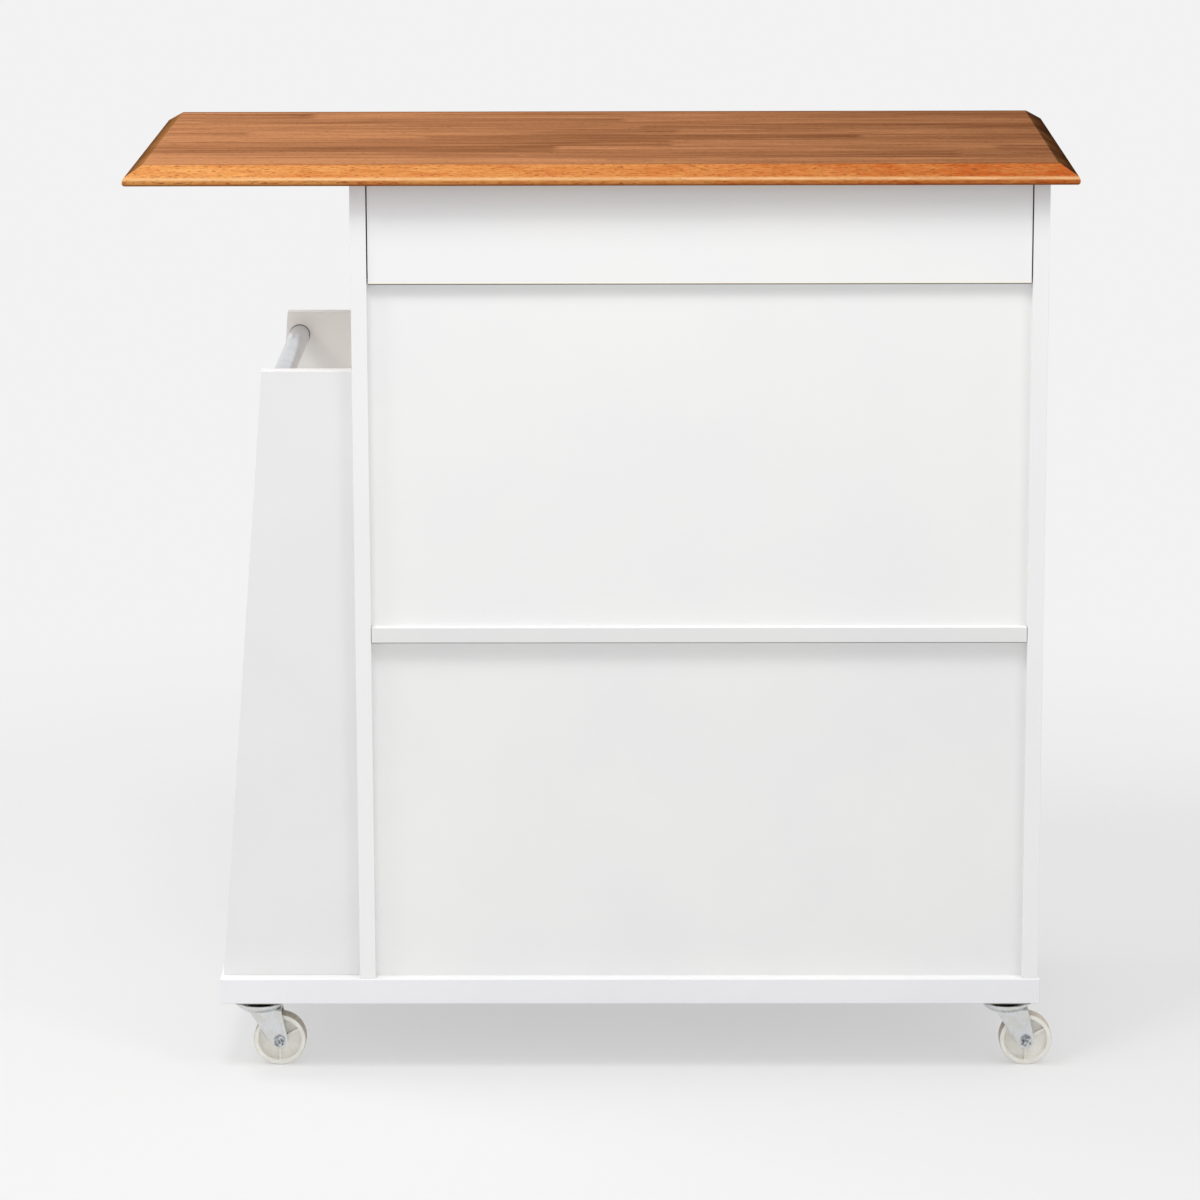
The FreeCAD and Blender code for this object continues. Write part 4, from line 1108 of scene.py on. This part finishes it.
def makeCasters():
    spots = [((low.x + high.x) / 2, (low.y + high.y) / 2, 0)
             for low, high in solidBoxes("caster_plates")]
    for node, piece, material in (
            ("caster_plates", casterPlate(), None), ("caster_ball_rings", ballRing(), ballSteel),
            ("caster_kingpins", makeKingpin(), zincBolt), ("caster_screws", plateScrews(), zincBolt)):
        finish(joinPieces(copiesAt(piece, spots)), node, material)
    forks = {"rear": makeFork(False), "front": makeFork(True)}
    axle, wheel, pedal = makeAxle(), makeWheel(wheelSizes), makePedal()
    for spot in spots:
        end, side = "rear" if spot[1] > 0 else "front", "left" if spot[0] < 0 else "right"
        place = end + "_" + side
        for part, piece, slot, material, body in (
                ("caster_fork_", forks[end], "zinc_steel", zincPlate, "swivel_"),
                ("caster_axle_", axle, "zinc_steel", darkGlintAxleSteel, "swivel_"),
                ("caster_wheel_", wheel, "cream_nylon", None, "wheel_")):
            finish(copyOf(piece, spot), part + place, material, body + place)
        if end == "front":
            finish(copyOf(pedal, spot), "brake_pedal_" + side, zincPlate,
                   "brake_" + side)
    for piece in (axle, wheel, pedal, *forks.values()):
        bpy.data.objects.remove(piece)


makeCasters()
print("casters made")

# Studio: a pale floor that fades into the same pale background, a key lamp over the rack side
# of the back, and fills over the top and from both sides.
studio = dict(
    floorRadius=1.9, floorSolid=0.75, floorColour="#e2e2e2", floorGlow=0.56, background=0.89,
    ambient=0.68, aim=(0, 0, 0.5), lamps=dict(
        key=((0.42, 1.1, 2.6), 0.5, 17.9), topLeft=((1.25, -0.2, 1.95), 0.6, 10.2),
        left=((1.6, 0.8, 1.9), 0.4, 5.8), right=((-1.3, 1.5, 2.5), 0.8, 13.5)))


def seenDirectly(add):  # by the camera, in a reflection or through glass
    rays = add("LightPath")
    seen = add("Math", larger, {0: (rays, "Is Camera Ray"), 1: (rays, "Is Glossy Ray")})
    return add("Math", larger, {0: (seen, 0), 1: (rays, "Is Transmission Ray")})


def makeFloor(look):
    makeActive(None)
    bpy.ops.mesh.primitive_circle_add(vertices=96, radius=look["floorRadius"], fill_type="NGON",
                                      location=(0, 0, cadLow.z))
    floor = settle(bpy.context.object)
    floor.name = "studioFloor"
    # matt paper without any gloss, clear toward its rim
    material, shader, add, place = newMaterial("matt paper floor", look["floorColour"], {
        "Roughness": 0.9, "Specular IOR Level": 0.0})
    glow = add("Emission", links={"Strength": look["background"]})
    share = add("Math", times, {0: (seenDirectly(add), 0), 1: look["floorGlow"]})
    paper = add("MixShader", links={0: (share, 0), 1: (shader, 0), 2: (glow, 0)})
    away = add("VectorMath", {"operation": "LENGTH"}, {0: (place, "Object")})
    fade = add("MapRange", {"interpolation_type": "SMOOTHSTEP"}, {
        0: (away, "Value"), 1: look["floorSolid"], 2: look["floorRadius"] * 0.98})
    # from below the floor is clear too
    unseen = add("Math", larger, {0: (fade, 0), 1: (add("NewGeometry"), "Backfacing")})
    clear = add("BsdfTransparent")
    faded = add("MixShader", links={0: (unseen, 0), 1: (paper, 0), 2: (clear, 0)})
    linkTo(material, faded, 0, material.node_tree.nodes["Material Output"], "Surface")
    floor.data.materials.append(material)


def makeLamps(look):
    for name, (spot, size, power) in look["lamps"].items():
        lamp = bpy.data.lights.new(name, "AREA")
        lamp.size, lamp.energy = size, power
        holder = bpy.data.objects.new(name, lamp)
        bpy.context.scene.collection.objects.link(holder)
        holder.location = spot
        aim = Vector(look["aim"]) - Vector(spot)
        holder.rotation_euler = aim.to_track_quat("-Z", "Y").to_euler()


def makeWorld(look):
    world = bpy.data.worlds.new("studio")
    bpy.context.scene.world = world
    world.use_nodes = True
    add = partial(addNode, world)
    strength = add("MapRange", links={
        0: (seenDirectly(add), 0), 3: look["ambient"], 4: look["background"]})
    sky = world.node_tree.nodes["Background"]
    linkTo(world, strength, 0, sky, "Strength")
    sky.inputs["Color"].default_value = (1, 1, 1, 1)


makeFloor(studio)
makeLamps(studio)
makeWorld(studio)

# Camera: a long lens, slightly above the worktop, square on to the back.
cameraLook = dict(place=(-0.040, 4.753, 1.4734), down=12.45, aside=0.53, roll=0.177, lens=147.18,
                  sensor=36.0)


def makeCamera(look):
    camera = bpy.data.cameras.new("camera")
    camera.lens, camera.sensor_width = look["lens"], look["sensor"]
    holder = bpy.data.objects.new("camera", camera)
    bpy.context.scene.collection.objects.link(holder)
    turn = Matrix.Rotation(math.radians(180 + look["aside"]), 4, "Z")
    tilt = Matrix.Rotation(math.radians(90 - look["down"]), 4, "X")
    roll = Matrix.Rotation(math.radians(-look["roll"]), 4, "Z")
    holder.matrix_world = Matrix.Translation(look["place"]) @ turn @ tilt @ roll
    bpy.context.scene.camera = holder


makeCamera(cameraLook)
bpy.context.scene.view_settings.view_transform = "Standard"
print("studio and camera made")
